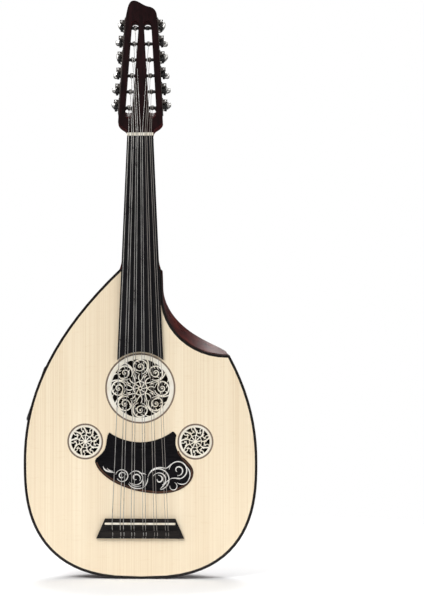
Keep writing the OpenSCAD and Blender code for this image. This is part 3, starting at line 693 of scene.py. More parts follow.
def cutaway_prism(inward):
    points = cut_curve(inward) + [(CUT_X + 90, CUT_Z - CUT_B - inward), (CUT_X + 90, JOINT_Z + 60)]
    rings = [leaning(points, y) for y in (-60, 160)]
    return solid("cutter", rings)


def preamp_matrix():
    """Frame of the preamp on the bass side wall: z outward, y up along it."""
    z, a = PREAMP_Z, PREAMP_ANGLE
    w, d = half_w(z), depth(z)
    dw, dd = half_w(z + 0.5) - half_w(z - 0.5), depth(z + 0.5) - depth(z - 0.5)
    normal = Vector((
        -math.cos(a) / w, math.sin(a) / d,
        -(math.cos(a) ** 2 * dw / w + math.sin(a) ** 2 * dd / d))).normalized()
    turn = math.atan2(-normal.x, normal.y)
    tip = math.asin(normal.z)
    roll = math.atan(math.sin(tip) / math.tan(turn))
    return (
        Matrix.Translation((-w * math.cos(a), d * math.sin(a), z))
        @ Matrix.Rotation(turn, 4, "Z") @ Matrix.Rotation(tip - math.pi / 2, 4, "X")
        @ Matrix.Rotation(math.pi + roll, 4, "Z") @ Matrix.Translation((0, 0, -2)))


ON_SIDE = preamp_matrix()


def trimmed(obj):
    """Cuts a piece of the shell as the body needs: binding, back, tail cap, cutaway and preamp."""
    boolean(obj, box_object((-200, BINDING_D, TAIL_CAP_H), (200, PANEL_Y, 600)), "INTERSECT")
    boolean(obj, cutaway_prism(RIB_T))
    half_x, half_y = PREAMP_W / 2 - 1.2, PREAMP_L / 2 - 1.2
    boolean(obj, box_object((-half_x, -half_y, -35), (half_x, half_y, 15), ON_SIDE))
    return obj


def line_inside(obj):
    """Gives the faces of the shell that look inward the raw wood of the inside."""
    for face in obj.data.polygons:
        x, y, z = face.center / MM
        outward = Vector((x, max(y, 0.0) * 2.5, (z - WIDEST_Z) * 0.35))
        if face.normal.dot(outward) < 0:
            face.material_index = 1


def rib_index(obj):
    """Stores on each face which rib it belongs to, from 0 to 1."""
    layer = obj.data.attributes.new("rib", "FLOAT", "FACE")
    for face in obj.data.polygons:
        x, y, z = face.center / MM
        angle = math.atan2(y / depth(max(z, 0.5)), x / half_w(max(z, 0.5)))
        k = min(RIBS - 1, max(0, int(angle / math.pi * RIBS)))
        layer.data[face.index].value = (k * 7 % RIBS) / RIBS


def build_bowl():
    step = math.pi / RIBS
    line = math.atan(PURFLING_HALF / BOWL_DEPTH)
    ribs, lines = Shape(), Shape()
    for k in range(RIBS):
        a0 = k * step + (line if k else 0)
        a1 = (k + 1) * step - (line if k < RIBS - 1 else 0)
        ribs.loft(band_rings(a0, a1, 6, 0.12, 0.05))
        if k:
            lines.loft(band_rings(k * step - line, k * step + line, 1))
    obj = trimmed(ribs.build("bowl_ribs_gloss", 30))
    rib_index(obj)
    shade(obj, 30)
    place_piece(obj, rib_m, "bowl_ribs", inner=inside_m)
    line_inside(obj)
    obj = trimmed(lines.build("rib_purfling_lines", 30))
    shade(obj, 30)
    place_piece(obj, purfling_m, "rib_purfling", inner=inside_m)
    line_inside(obj)


def bowl_solid(inward=0.0, across=64):
    rings = [[bowl_point(z, math.pi * j / across, inward) for j in range(across + 1)] for z in STATIONS]
    return solid("cutter", rings)


def build_tail_cap():
    obj = bowl_solid()
    obj.name = "tail_cap_gloss"
    boolean(obj, bowl_solid(RIB_T))
    boolean(obj, box_object((-200, BINDING_D, -5), (200, PANEL_Y, TAIL_CAP_H)), "INTERSECT")
    for radius, top in ((8.3, 1.2), (5.8, 20)):
        rings = lathe([(radius, -2), (radius, top)], Matrix.Translation((0, 34, 0)), 48)
        boolean(obj, solid("cutter", rings))
    rib_index(obj)
    shade(obj, 30)
    place_piece(obj, rib_m, "tail_cap")


def build_cutaway_side():
    outer, inner = cut_curve(0), cut_curve(RIB_T)
    ring = outer + inner[::-1]
    rings = [leaning(ring, y) for y in [BINDING_D + (PANEL_Y - BINDING_D) * i / 16 for i in range(17)]]
    obj = solid("cutaway_side_gloss", rings)
    boolean(obj, bowl_solid(), "INTERSECT")
    rib_index(obj)
    for value in obj.data.attributes["rib"].data:
        value.value = 0.4
    shade(obj, 30)
    place_piece(obj, wall_m, "cutaway_side")


def panel_outline(low_z, high_z, steps=48):
    """Half outline of the flat back between two heights, closely spaced at the ends."""
    bottom = WIDEST_Z * (1 - tail_curve(PANEL_Y / BOWL_DEPTH, TAIL_POWER_D))
    top = WIDEST_Z + (DEPTH_APEX_Z - WIDEST_Z) * (1 - PANEL_Y / BOWL_DEPTH) ** (1 / DEPTH_POWER)
    points = []
    for i in range(steps + 1):
        z = bottom + (top - bottom) * (1 - math.cos(math.pi * i / steps)) / 2
        z = min(max(z, low_z), high_z)
        w = half_w(z) * math.sqrt(max(0.0, 1 - (PANEL_Y / depth(z)) ** 2))
        if not points or abs(z - points[-1][1]) > 1e-3:
            points.append((w, z))
    return points


def build_panel(node, low_z, high_z, material):
    right = panel_outline(low_z, high_z)
    left = [(-x, z) for x, z in reversed(right)]
    outline = [right[0]]
    for x, z in right[1:] + left:
        if math.dist((x, z), outline[-1]) > 0.05 and math.dist((x, z), outline[0]) > 0.05:
            outline.append((x, z))
    obj = extrude_y(outline, PANEL_Y, BACK_Y, node + "_board")
    bevel(obj, 0.7, 3, 40)
    place_piece(obj, material, node, inner=inside_m)
    for face in obj.data.polygons:
        if face.normal.y < -0.7:
            face.material_index = 1


build_bowl()
build_tail_cap()
build_cutaway_side()
build_panel("back_panel_lower", 0, PANEL_SEAM_Z, panel_lower_m)
build_panel("back_panel_upper", PANEL_SEAM_Z, 600, panel_upper_m)
softened("soundboard", 0, spruce_m)
softened("soundboard_binding", 0.6, binding_m, 3)


# ---------- neck and head ----------

def board_half_w(z):
    return NUT_W / 2 + (NUT_Z - z) * TAPER


ON_HEAD = Matrix.Translation((0, 0, HEAD_Z)) @ Matrix.Rotation(-HEAD_TILT, 4, "X")


def build_neck():
    """Neck with a half-round back and a fine ridge across it just under the head."""
    rings = []
    heights = [JOINT_Z + (HEAD_Z + 8 - JOINT_Z) * (i / 60) ** 1.4 for i in range(61)]
    for z in heights:
        t = (z - JOINT_Z) / (NUT_Z - JOINT_Z)
        d = NECK_D_LOW + (NECK_D_HIGH - NECK_D_LOW) * t
        flare = NECK_FLARE * max(0.0, 1 - (z - JOINT_Z) / NECK_FLARE_H) ** 2
        ring = []
        for k in range(33):
            a = math.pi * k / 32
            round_off = 0.97 + 0.03 * math.sin(a)
            ring.append(((board_half_w(z) + flare) * math.cos(a), d * math.sin(a) * round_off, z))
        rings.append(ring)
    obj = solid("neck_back", rings)
    boolean(obj, box_object((-60, -20, 0), (60, 80, 60), ON_HEAD))
    shade(obj, 35)
    place_piece(obj, neck_m, "neck")
    d = NECK_D_HIGH + 0.3
    arc = []
    for k in range(49):
        a = math.pi * (0.04 + 0.92 * k / 48)
        x, y = (board_half_w(VOLUTE_Z) + 0.1) * math.cos(a), d * math.sin(a) * (0.97 + 0.03 * math.sin(a))
        arc.append((x, y, VOLUTE_Z - 5.0 * math.sin(a) ** 3))
    ridge = solid("neck_volute", tube_rings(arc, 0.42, 8))
    place_piece(ridge, head_m, body="root")


def build_fingerboard():
    """Board with a concave lower end that clears the main rosette."""
    low = ROSE_Z + 40
    reach = ROSE_R + RING_W + 2
    half = board_half_w(low)
    shape = Shape()
    rings = []
    for j in range(49):
        t = -1 + 2 * j / 48
        x = half * t
        end = max(low, ROSE_Z + math.sqrt(max(0.0, reach * reach - x * x)))
        crown = 0.35 * t * t
        top = NUT_W / 2 * t
        rings.append([(x, -5 + crown, end), (top, -5 + crown, NUT_Z), (top, 0, NUT_Z), (x, 0, end)])
    obj = shape.loft(rings).build("fingerboard_top", 30)
    bevel(obj, 0.5, 2, 50)
    place_piece(obj, ebony_m, "fingerboard")


def head_half_w(u):
    return 34 - (u - 18) * 0.0578


def slot_x(u):
    return 18 - (u - 39) * 0.062


def tuner_u(i):
    return FIRST_TUNER + TUNER_PITCH * i


def roller_inner(u):
    return max(1.6, slot_x(u) - SLOT_W / 2 - 5)


def gear_mid(u):
    return head_half_w(u) + 1.2 + 0.35 + 3.8


def head_outline():
    nut = NUT_W / 2
    low = 34
    return (
        [(-nut, 0)]
        + bezier((-nut, 1), (-21, 9), (-31, 8), (-low, 18))
        + [(-head_half_w(188), 188)]
        + bezier((-head_half_w(188), 188), (-21.5, 204), (-20, 215.5), (-12, 215.5))
        + bezier((-12, 215.5), (-4, 215.5), (2, 207), (11, 205.5))
        + bezier((11, 205.5), (18, 204), (23, 200), (head_half_w(190), 190))
        + [(low, 18)]
        + bezier((low, 18), (31, 8), (21, 9), (nut, 1))
        + [(nut, 0)])


def slot_cutters(side):
    """The two cutters of a slot: its upright length and its leaning lower mouth."""
    half = SLOT_W / 2
    lean = math.radians(50)
    start = FIRST_TUNER - 20
    low = start + 2 * half / math.sin(lean) - 0.1
    high = tuner_u(TUNERS - 1) + 9 - half
    outline = [(side * slot_x(low) - half, low)]
    outline.append((side * slot_x(low) + half, low))
    outline.append((side * slot_x(high) + half, high))
    for i in range(1, 24):
        a = math.pi * i / 24
        outline.append((side * slot_x(high) + half * math.cos(a), high + half * math.sin(a)))
    outline.append((side * slot_x(high) - half, high))
    yield solid("cutter", [[(x, y, z) for x, z in outline] for y in (-2, HEAD_T + 2)])
    mouth = start + half / math.sin(lean)
    place = Matrix.Translation((side * slot_x(low), 0, mouth)) @ Matrix.Rotation(-lean, 4, "X")
    yield solid("cutter", lathe([(half, -10), (half, 44)], place, 48))


def to_frame(obj, place):
    """Moves the mesh itself, drawn in millimetres, by a matrix in millimetres."""
    matrix = place.copy()
    matrix.translation = matrix.translation * MM
    obj.data.transform(matrix)
    return obj


def string_end(k):
    """Points of one string where it leaves the nut and where it meets its roller."""
    r = STRING_R[k]
    side = -1 if k < BASS_STRINGS else 1
    u = tuner_u(k if k < BASS_STRINGS else len(NUT_X) - 1 - k)
    behind_nut = Vector((NUT_X[k], -5.6 - r, NUT_Z + 4.9))
    return behind_nut, ON_HEAD @ Vector((side * slot_x(u), ROLLER_Y - WINDING_R - r, u))


def build_headstock():
    obj = extrude_y(head_outline(), 0, HEAD_T, "headstock_body")
    bevel(obj, 1.1, 3, 50)
    for side in (-1, 1):
        for cutter in slot_cutters(side):
            boolean(obj, cutter)
        for i in range(TUNERS):
            u = tuner_u(i)
            start = roller_inner(u) - 0.3
            place = (
                Matrix.Translation((side * start, ROLLER_Y, u)) @ Matrix.Rotation(side * math.pi / 2, 4, "Y"))
            rings = lathe([(ROLLER_R + 0.08, 0), (ROLLER_R + 0.08, 60)], place, 32)
            boolean(obj, solid("cutter", rings))
    to_frame(obj, ON_HEAD)
    for k in range(len(NUT_X)):
        rings = tube_rings(string_end(k), STRING_R[k] + CHANNEL_GAP, 20)
        boolean(obj, solid("cutter", rings))
    near, far = string_end(EASED_STRING)
    ball = [
        (max(0.02, MOUTH_R * math.sin(math.pi * i / 16)), -MOUTH_R * math.cos(math.pi * i / 16))
        for i in range(17)]
    place = Matrix.Translation(near + (MOUTH_Z - near.z) / (far.z - near.z) * (far - near))
    boolean(obj, solid("cutter", lathe(ball, place, 28)))
    shade(obj, 32)
    flatten(obj)
    place_piece(obj, head_m, "headstock", inner=veneer_m)
    for face in obj.data.polygons:
        if face.normal.y < -0.5:
            face.material_index = 1


build_neck()
build_fingerboard()
build_headstock()
softened("nut", 0.6, bone_m, 3)


# ---------- tuners ----------

def button_rings(place):
    """Pillow-shaped oval button with a dished edge."""
    rings = []
    for z, grow in (
            (20.4, 0.55), (21.2, 0.82), (22.6, 0.97), (25, 1.0),
            (28.4, 1.0), (30.6, 0.95), (31.9, 0.8), (32.4, 0.5)):
        ring = []
        for k in range(48):
            a = math.tau * k / 48
            c, s = math.cos(a), math.sin(a)
            x = 8.7 * math.copysign(abs(c) ** 0.85, c)
            y = 4.2 * math.copysign(abs(s) ** 0.8, s)
            shrink = 1 - grow
            ring.append(place @ Vector((x - shrink * 4.2 * c, y - shrink * 4.2 * s, z)))
        rings.append(ring)
    return rings


def tuner_node(side, piece, i):
    return f"{'bass' if side < 0 else 'treble'}_{piece}_{i + 1}"


def build_key(side, i):
    u = tuner_u(i)
    turn = math.radians((BASS_TURNS if side < 0 else TREBLE_TURNS)[i])
    place = (
        ON_HEAD @ Matrix.Translation((side * gear_mid(u), 0, u + WORM_GAP))
        @ Matrix.Rotation(-math.pi / 2, 4, "X"))
    place = place @ Matrix.Rotation(turn, 4, "Z")
    shape = Shape()
    shape.loft(lathe([(1.2, 1), (1.5, 1.3), (1.5, 18.6)], place, 24))
    shape.loft(lathe([(1.7, 4.9), (1.7, 13.1)], place, 24))
    thread = []
    for k in range(97):
        a = math.tau * 3.4 * k / 96
        thread.append(place @ Vector((1.85 * math.cos(a), 1.85 * math.sin(a), 5.05 + 7.9 * k / 96)))
    shape.loft(tube_rings(thread, 0.5, 8))
    shape.loft(lathe([(2.0, 18.0), (2.7, 18.4), (2.8, 18.9), (2.8, 20.0), (2.4, 20.6), (2.0, 21)], place, 32))
    shape.loft(button_rings(place))
    name = tuner_node(side, "key", i)
    place_piece(shape.build(name + "_chrome", 40), tuner_m, name)


def build_roller(side, i):
    """Roller with its gear wheel and, where a string ends on it, the wound turns of the string."""
    name = tuner_node(side, "roller", i)
    softened(name, 0.18, roller_m, 1, 30)
    rows = {(-1, k): k for k in range(BASS_STRINGS)}
    rows.update({(1, len(NUT_X) - 1 - k): k for k in range(BASS_STRINGS, len(NUT_X))})
    if (side, i) not in rows:
        return
    k = rows[(side, i)]
    r = STRING_R[k]
    u = tuner_u(i)
    turns = 3.25
    coil = []
    radius = WINDING_R + r
    for j in range(int(turns * 28) + 1):
        a = math.tau * j / 28
        along = side * slot_x(u) + (a / math.tau - turns / 2) * 2.25 * r
        coil.append(ON_HEAD @ Vector((along, ROLLER_Y - radius * math.cos(a), u + radius * math.sin(a))))
    obj = solid(name + "_turns", tube_rings(coil, r, 8))
    place_piece(obj, wound_m if k < WOUND else nylon_m, body=name)


for tuner_side in (-1, 1):
    for tuner in range(TUNERS):
        build_key(tuner_side, tuner)
        build_roller(tuner_side, tuner)
softened("tuner_plates", 0.25, plate_m, 2, 40)


# ---------- bridge and strings ----------

def string_path(k):
    """Points of one string from its knot on the bridge to its roller."""
    r = STRING_R[k]
    x0 = SADDLE_X[k]
    over_saddle = Vector((x0, -12 - r - 0.02, SADDLE_Z + 0.6))
    over_nut = Vector((NUT_X[k], -8 - r - 0.02, NUT_Z + 0.4))
    behind_nut, at_roller = string_end(k)
    path = [Vector((x0, -5.9, 61.6)), Vector((x0, -5.9, 72.5)), Vector((x0, -6.8, 74.2))]
    path += [over_saddle + Vector((0, 0.35, -1.2)), over_saddle, over_saddle + Vector((0, 0, 1.0))]
    for i in range(1, 24):
        path.append(over_saddle.lerp(over_nut, i / 24))
    path += [over_nut, behind_nut.lerp(over_nut, 0.3)]
    path += [behind_nut.lerp(at_roller, t) for t in (0.02, 0.3, 0.6, 0.9, 1.0)]
    return path


def knot_path(k):
    """Loop that ties a string round the tie block."""
    x0 = SADDLE_X[k]
    points = []
    for j in range(25):
        a = math.tau * j / 24
        points.append(Vector((
            x0 + 0.9 * math.sin(a * 0.5), -5.9 - 2.2 * math.sin(a / 2) ** 2, 74.4 - 13.4 * (j / 24))))
    return points


def build_strings():
    for node, keys, material in (
            ("wound_strings", range(WOUND), wound_m),
            ("nylon_strings", range(WOUND, len(NUT_X)), nylon_m)):
        shape = Shape()
        for k in keys:
            shape.loft(tube_rings(string_path(k), STRING_R[k], 10))
        place_piece(shape.build(node + "_course"), material, node)
        ties = Shape()
        for k in keys:
            r = min(STRING_R[k], 0.45)
            ties.loft(tube_rings(knot_path(k), r, 8))
        obj = place_piece(ties.build(node + "_ties"), material, body="root")


build_strings()
softened("bridge", 0.7, bridge_m, 3)
softened("saddle", 0.9, bone_m, 3)


# ---------- rosettes ----------

def ribbon(shape, points, widths, front, back=1.8):
    """Flat strap with a slightly domed face that follows points in x and z.

    widths is a list with a number for each point, or a tuple of what taper takes."""
    n = len(points)
    if isinstance(widths, tuple):
        widths = taper(n, *widths)
    rings = []
    for i, (x, z) in enumerate(points):
        x0, z0 = points[max(i - 1, 0)]
        x1, z1 = points[min(i + 1, n - 1)]
        length = math.hypot(x1 - x0, z1 - z0) or 1
        nx, nz = -(z1 - z0) / length, (x1 - x0) / length
        half = widths[i] / 2
        section = [
            (-1, back), (-1, front + 0.3), (-0.6, front + 0.06), (0, front),
            (0.6, front + 0.06), (1, front + 0.3), (1, back)]
        rings.append([(x + nx * half * s, y, z + nz * half * s) for s, y in section])
    shape.loft(rings)


def spiral(cx, cz, r0, r1, a0, a1, steps=36):
    """Points of a spiral; radii in millimetres and angles in degrees."""
    out = []
    for i in range(steps + 1):
        t = i / steps
        a = math.radians(a0 + (a1 - a0) * t)
        r = r0 + (r1 - r0) * t
        out.append((cx + r * math.cos(a), cz + r * math.sin(a)))
    return out


def turned(points, angle, cx, cz):
    """Points turned about the origin by an angle and moved to a centre."""
    c, s = math.cos(angle), math.sin(angle)
    return [(cx + x * c - z * s, cz + x * s + z * c) for x, z in points]


def taper(n, most, start=0.25, end=0.25, peak=0.5):
    """Widths that swell to most at peak and narrow toward both ends."""
    out = []
    for i in range(n):
        t = i / (n - 1)
        f = t / peak if t < peak else (1 - t) / (1 - peak)
        low = start if t < peak else end
        out.append(most * (low + (1 - low) * math.sin(math.pi / 2 * f)))
    return out


def rotate_copy(shape, add, folds, cx, cz):
    """Calls add once for each fold with a function that lays a strap in that fold."""
    for k in range(folds):
        def strap(points, widths, front, angle=math.tau * k / folds):
            ribbon(shape, turned(points, angle, cx, cz), widths, front)

        add(strap)


def rim(shape, cx, cz, outer, inner, front, sides=120):
    """Flat ring with a rounded inner and outer edge."""
    rings = []
    for k in range(sides + 1):
        a = math.tau * k / sides
        c, s = math.cos(a), math.sin(a)
        section = [
            (outer, 1.8), (outer, front + 0.15), (outer - 0.3, front), (inner + 0.5, front),
            (inner, front + 0.5), (inner, 1.8)]
        rings.append([(cx + r * c, y, cz + r * s) for r, y in section])
    shape.loft(rings, caps=False)


def build_main_rosette():
    shape = Shape()
    rim(shape, 0, ROSE_Z, ROSE_R, 44.0, 0.2)

    def whorl(strap):
        strap(spiral(32.4, 0, 10.9, 10.2, -165, 168, 44), (2.1, 0.5, 0.35, 0.45), 0.3)
        strap(curve((20.5, -7.5), (25, -12.6), (36, -14.5), (44.6, -9.5), 18), (1.9, 0.4, 1.0, 0.8), 0.4)
        strap(spiral(32.6, 0.2, 7.0, 2.0, 120, 520, 40), (1.7, 0.4, 0.5, 0.35), 0.45)
        strap([(31.2, -0.6), (33.2, 0.4), (34.4, -0.9)], [1.6, 2.4, 1.2], 0.4)
        for x0, z0, x1, z1, w in (
                (39.6, 0.5, 43.0, 5.2, 1.5), (26.6, 3.4, 31.4, 8.6, 1.5),
                (27.2, -4.4, 31.0, -8.4, 1.4), (37.2, -4.6, 40.4, -8.0, 1.5),
                (36.6, 4.8, 39.4, 8.4, 1.3)):
            dx, dz = x1 - x0, z1 - z0
            points = curve(
                (x0, z0), (x0 + dx * 0.3 - dz * 0.3, z0 + dz * 0.3 + dx * 0.3),
                (x0 + dx * 0.7 - dz * 0.3, z0 + dz * 0.7 + dx * 0.3), (x1, z1), 10)
            strap(points, (w, 0.2, 0.6), 0.5)
        strap(curve((40.6, 9.2), (42.4, 11.4), (42.6, 13.6), (42.0, 16.4), 10), (1.5, 0.7, 0.8), 0.5)
        strap(curve((10.6, 0), (14, 3.4), (18, 3.6), (22.2, 0.6), 14), (1.7, 0.6, 0.5), 0.4)
        strap(curve((10.2, 1.4), (13.5, -3.4), (17.5, -4.2), (21.2, -6.6), 14), (1.6, 0.6, 0.8), 0.45)
        strap([(14.4, 5.6), (16.2, 6.9), (18.6, 7.3), (21.0, 6.4)], [0.6, 1.7, 1.7, 0.7], 0.5)
        strap(spiral(0, 0, 3.1, 9.6, -9, 9, 10), (1.55, 0.7, 0.9, 0.6), 0.45)

    rotate_copy(shape, whorl, 8, 0, ROSE_Z)
    for radius, width, steps in ((10.1, 1.5, 64), (2.6, 1.7, 32)):
        ribbon(shape, spiral(0, ROSE_Z, radius, radius, 0, 360, steps), [width] * (steps + 1), 0.3)
    place_piece(shape.build("main_rosette_fretwork", 50), rosette_m, "main_rosette")


def build_small_rosettes():
    shape = Shape()
    for side in (-1, 1):
        cx, cz = side * SMALL_X, SMALL_Z
        rim(shape, cx, cz, SMALL_R, 21.3, 0.2, 96)

        def blade(strap):
            ray = [(1.6 + i * 0.9, 0.16 * i) for i in range(9)]
            strap(ray, [0.9, 1.2, 1.5, 1.7, 1.75, 1.7, 1.5, 1.2, 1.3], 0.3)
            strap(curve((8.4, -2.4), (9.6, -0.6), (9.6, 1.4), (8.6, 3.2), 10), (1.35, 0.8, 0.8), 0.4)
            strap(curve((9.2, 0.6), (13.2, -0.4), (17.6, 2.2), (21.8, 7.4), 16), (2.0, 0.7, 1.1, 0.6), 0.38)
            strap(spiral(15.6, -2.4, 2.7, 1.9, 60, 330, 20), (1.5, 0.7, 0.6), 0.45)
            strap([(17.6, -3.4), (19.4, -4.8), (21.8, -5.2)], [1.2, 1.4, 2.0], 0.45)
            strap([(12.4, 3.6), (13.9, 5.0), (16.4, 5.4)], [0.6, 1.6, 0.6], 0.5)

        rotate_copy(shape, blade, 9, cx, cz)
        y_for_z = Matrix(((1, 0, 0, 0), (0, 0, 1, 0), (0, 1, 0, 0), (0, 0, 0, 1)))
        hub = [(0.2, 1.7), (2.6, 1.6), (2.6, 0.9), (1.9, 0.45), (0.2, 0.25)]
        shape.loft(lathe(hub, Matrix.Translation((cx, 0, cz)) @ y_for_z))
    place_piece(shape.build("small_rosette_fretwork", 50), rosette_m, "small_rosettes")


build_main_rosette()
build_small_rosettes()
softened("rosette_rings", 0.2, ring_m, 2)


# ---------- pickguard ----------

def guard_edge():
    """Lower and outer edge of the pickguard, as the CAD node has it."""
    left, right = (-68, 174), (80, 160)
    edge = curve(left, (-60, 150), (-20, 130), (26, 128), 36)
    edge += bezier((26, 128), (58, 127), (80, 142), right, 24)
    edge += bezier(right, (80, 172), (66, 178), (60, 190), 14)
    return edge + bezier((60, 190), (54, 205), (58, 222), (46, 222))[:1]


def build_guard_line():
    """Line let into the pickguard beside its lower and outer edge."""
    edge = guard_edge()
    a, b = GUARD_LINE
    corners = ((a, GUARD_LINE_BACK_Y), (a, GUARD_LINE_Y), (b, GUARD_LINE_Y), (b, GUARD_LINE_BACK_Y))
    rings = []
    for i, (x, z) in enumerate(edge):
        x0, z0 = edge[max(i - 1, 0)]
        x1, z1 = edge[min(i + 1, len(edge) - 1)]
        length = math.hypot(x1 - x0, z1 - z0)
        nx, nz = -(z1 - z0) / length, (x1 - x0) / length
        rings.append([(x + nx * inward, y, z + nz * inward) for inward, y in corners])
    place_piece(solid("pickguard_edge_line", rings), guard_rim_m, body="root")


def build_inlay():
    shape = Shape()

    def stroke(points, width, start=0.3, end=0.3, peak=0.5, lift=0.0):
        ribbon(shape, points, (width, start, end, peak), INLAY_Y + lift, INLAY_BACK_Y)

    def vine(a, b, c, d, width, start=0.3, end=0.3, lift=0.02):
        stroke(curve(a, b, c, d), width, start, end, 0.5, lift)

    vine((-56, 169), (-55, 163), (-49, 160), (-38, 159.5), 2.4, 0.15, 0.3)
    vine((-50, 166.5), (-48, 162.5), (-45, 161.5), (-41, 161.5), 2.0, 0.15, 0.3)
    stroke(spiral(-27.5, 154.5, 9.6, 8.2, 168, -150, 36), 1.6, 0.4, 0.6)
    stroke(spiral(-27.5, 154.5, 6.2, 2.2, 10, 330, 28), 1.9, 0.3, 0.5, 0.4)
    stroke(spiral(-6.5, 151.5, 10.6, 10.0, 150, -130, 36), 1.8, 0.5, 0.4)
    stroke(spiral(-6.5, 151.5, 7.2, 2.2, -40, 290, 30), 2.1, 0.3, 0.5, 0.4)
    vine((-17.5, 143), (-14, 135.5), (-3, 133.8), (5.5, 137.5), 2.1)
    vine((-16.5, 145.5), (-12, 139), (-5, 137.5), (1.5, 140), 1.4)
    vine((-2, 159), (3, 158), (6, 158.6), (9, 156.2), 1.9)
    vine((5.5, 137.5), (5, 142), (4.6, 146), (4, 149), 1.5)
    vine((6.5, 138.5), (9.5, 142), (11, 146), (11.5, 152), 1.8)
    stroke(spiral(27.6, 149, 16.6, 15.2, 165, -80, 44), 2.0, 0.4, 0.5)
    stroke(spiral(28.5, 149, 10.4, 9.4, 150, -60, 36), 1.8, 0.3, 0.6)
    stroke(spiral(28, 149.4, 6.4, 2.4, 100, -190, 28), 2.4, 0.3, 0.4, 0.4)
    vine((13.5, 158), (18, 166.5), (28, 168.5), (38, 166), 2.4, 0.3, 0.5)
    vine((38, 166), (42, 166.5), (44, 170), (47, 173), 2.0, 0.5, 0.3)
    vine((30, 135.5), (36, 140), (38, 146), (46, 150.5), 1.8)
    stroke(spiral(57, 163, 13.4, 12.6, 175, -120, 42), 2.1, 0.4, 0.5)
    stroke(spiral(57, 163.2, 8.4, 2.6, -100, 230, 32), 2.2, 0.3, 0.5, 0.4)
    vine((68.5, 169.5), (76, 163), (77, 153), (70, 145), 2.0, 0.4, 0.4)
    vine((70, 145), (66, 140.8), (60, 141.6), (55.5, 144.5), 1.6, 0.6, 0.3)
    stroke(spiral(49.5, 139, 6.0, 5.0, 70, -190, 28), 1.5, 0.4, 0.4)
    vine((46, 150.5), (52, 152.5), (58, 150), (64, 151.5), 1.9, 0.4, 0.2)
    obj = shape.build("pickguard_scrolls", 50)
    place_piece(obj, inlay_m, "pickguard_inlay")


softened("pickguard", 0.35, guard_m, 2)
build_guard_line()
build_inlay()


# ---------- preamp and jack ----------

def build_knob(name, y):
    """Knurled knob with a dished cap and a white pointer."""
    place = ON_SIDE @ Matrix.Translation((0, y, 0))
    ridges = 36

    def knurl(k, height):
        return 1.0 if height < 2.4 or height > 6.6 or k % 2 else 0.955

    shape = Shape()
    shape.loft(lathe([(3.0, -3), (3.0, 2.0)], place, 32))
    profile = [
        (4.6, 1.95), (5.0, 2.1), (5.2, 2.5), (5.2, 6.5), (5.05, 6.9),
        (4.6, 7.45), (4.1, 7.5), (3.7, 7.25), (0.3, 7.15)]
    shape.loft(lathe(profile, place, ridges * 2, knurl))
    place_piece(shape.build(name + "_cap", 30), knob_m, name)
    line = [place @ Vector((0, 1.6, 7.2)), place @ Vector((0, 3.9, 7.3))]
    pointer = solid(name + "_pointer", tube_rings(line, 0.32, 6))
    place_piece(pointer, mark_m, body=BODY_OF[name])


for knob_node, knob_y in KNOB_Y.items():
    build_knob(knob_node, knob_y)
softened("preamp_case", 0.5, case_m, 2)
softened("preamp_plate", 0.2, face_m, 2)
softened("preamp_button", 0.35, knob_m, 3)
softened("battery_door", 0.3, case_m, 2)
softened("output_jack", 0.3, jack_m, 3)


def build_scale_marks():
    """Dots round each knob and a lamp lens on the preamp's face."""
    shape = Shape()
    for y in KNOB_Y.values():
        for degrees in range(-140, 141, 35):
            a = math.radians(degrees)
            place = ON_SIDE @ Matrix.Translation((6.9 * math.sin(a), y + 6.9 * math.cos(a), 1.55))
            shape.loft(lathe([(0.1, -0.2), (0.34, -0.1), (0.34, 0.08), (0.1, 0.12)], place, 8))
    dots = place_piece(shape.build("preamp_scale_dots"), mark_m, body="root")
    place = ON_SIDE @ Matrix.Translation((-7, 38, 0))
    lens = lathe([(1.3, 1.4), (1.3, 1.9), (1.05, 2.15), (0.5, 2.2), (0.1, 2.2)], place, 24)
    lamp = place_piece(solid("preamp_lamp", lens), lens_m, body="root")


build_scale_marks()

for inside, material in (
        ("soundboard_braces", pale_wood_m), ("end_blocks", pale_wood_m), ("pickup_strip", brass_m),
        ("battery", battery_m), ("preamp_board", board_m), ("internal_leads", lead_m)):
    NODES[inside].data.materials.clear()
    NODES[inside].data.materials.append(material)


# ---------- stage ----------

def build_stage():
    """Pale round floor that the object stands on."""
    m = Material("stage", roughness=0.9, specular=0.1)
    cloud = m.noise((1.5, 1.5, 1.5), detail=3)
    m.colour(m.ramp(cloud, [(0.3, (0.88, 0.88, 0.88)), (0.7, (0.91, 0.91, 0.91))]))
    reach = m.node("ShaderNodeVectorMath", operation="LENGTH")
    m.link(m.coords, reach.inputs[0])
    m.link(m.span(reach.outputs["Value"], 1, 0, 0.25, 1.1), m.shader.inputs["Alpha"])
    sides = 96
    verts = []
    for radius in (400, 1150):
        verts += [
            (radius * math.cos(math.tau * k / sides), radius * math.sin(math.tau * k / sides), 0)
            for k in range(sides)]
    faces = [tuple(range(sides))]
    faces += [(k, sides + k, sides + (k + 1) % sides, (k + 1) % sides) for k in range(sides)]
    floor = new_object("floor", verts, faces, 60)
    floor.data.materials.append(m.material)


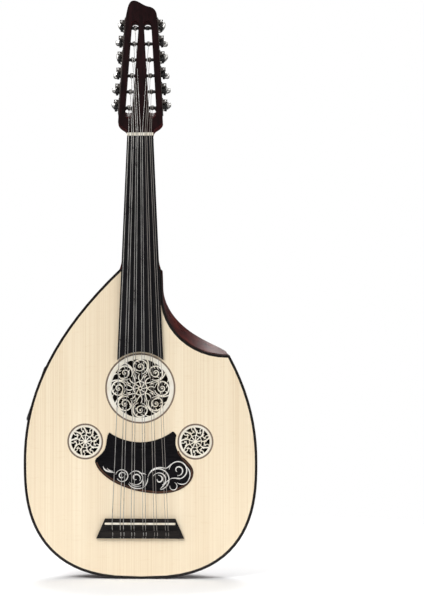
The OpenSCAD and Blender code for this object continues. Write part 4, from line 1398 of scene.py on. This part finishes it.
def area_light(name, place, target, size_x, size_y, power):
    data = bpy.data.lights.new(name, "AREA")
    data.shape = "RECTANGLE"
    data.size = size_x
    data.size_y = size_y
    data.energy = power
    light = bpy.data.objects.new(name, data)
    light.location = place
    light.rotation_euler = (Vector(target) - Vector(place)).to_track_quat("-Z", "Y").to_euler()
    scene.collection.objects.link(light)


def build_lights():
    """White surroundings and soft boxes; the surroundings light the object less than they show."""
    world = bpy.data.worlds.new("world")
    world.use_nodes = True
    nodes, link = world.node_tree.nodes, world.node_tree.links.new

    def spread(value, low, high, start, end):
        """A value from start to end spread smoothly between low and high."""
        node = nodes.new("ShaderNodeMapRange")
        node.interpolation_type = "SMOOTHSTEP"
        for key, number in (("From Min", start), ("From Max", end), ("To Min", low), ("To Max", high)):
            node.inputs[key].default_value = number
        link(value, node.inputs["Value"])
        return node.outputs["Result"]

    background = nodes["Background"]
    background.inputs["Color"].default_value = (1, 1, 1, 1)
    coords = nodes.new("ShaderNodeTexCoord")
    parts = nodes.new("ShaderNodeSeparateXYZ")
    link(coords.outputs["Generated"], parts.inputs["Vector"])
    across = nodes.new("ShaderNodeMath")
    across.operation = "ABSOLUTE"
    link(parts.outputs["X"], across.inputs[0])
    sideways = spread(across.outputs[0], 0.07, 1.7, 0.74, 1.0)
    upward = spread(parts.outputs["Z"], 0.0, 0.7, 0.5, 0.95)
    around = nodes.new("ShaderNodeMath")
    around.operation = "ADD"
    link(sideways, around.inputs[0])
    link(upward, around.inputs[1])
    ray = nodes.new("ShaderNodeLightPath")
    strength = nodes.new("ShaderNodeMapRange")
    strength.inputs["To Max"].default_value = 1.0
    link(ray.outputs["Is Camera Ray"], strength.inputs["Value"])
    link(around.outputs[0], strength.inputs["To Min"])
    link(strength.outputs["Result"], background.inputs["Strength"])
    scene.world = world
    area_light("key", (-1.6, -2.6, 2.6), (0, 0, 0.80), 1.8, 1.8, 98)
    area_light("fill", (2.3, -2.2, 1.5), (0, 0, 0.5), 1.4, 1.8, 32)
    area_light("back_left", (-0.9, 1.9, 2.85), (0, 0, 0.43), 0.9, 0.16, 10)
    area_light("back_right", (0.9, 1.9, 2.85), (0, 0, 0.43), 0.9, 0.16, 10)
    area_light("back_top", (0, 1.9, 3.7), (0, 0, 0.4), 2.2, 1.0, 92)


build_stage()
build_lights()
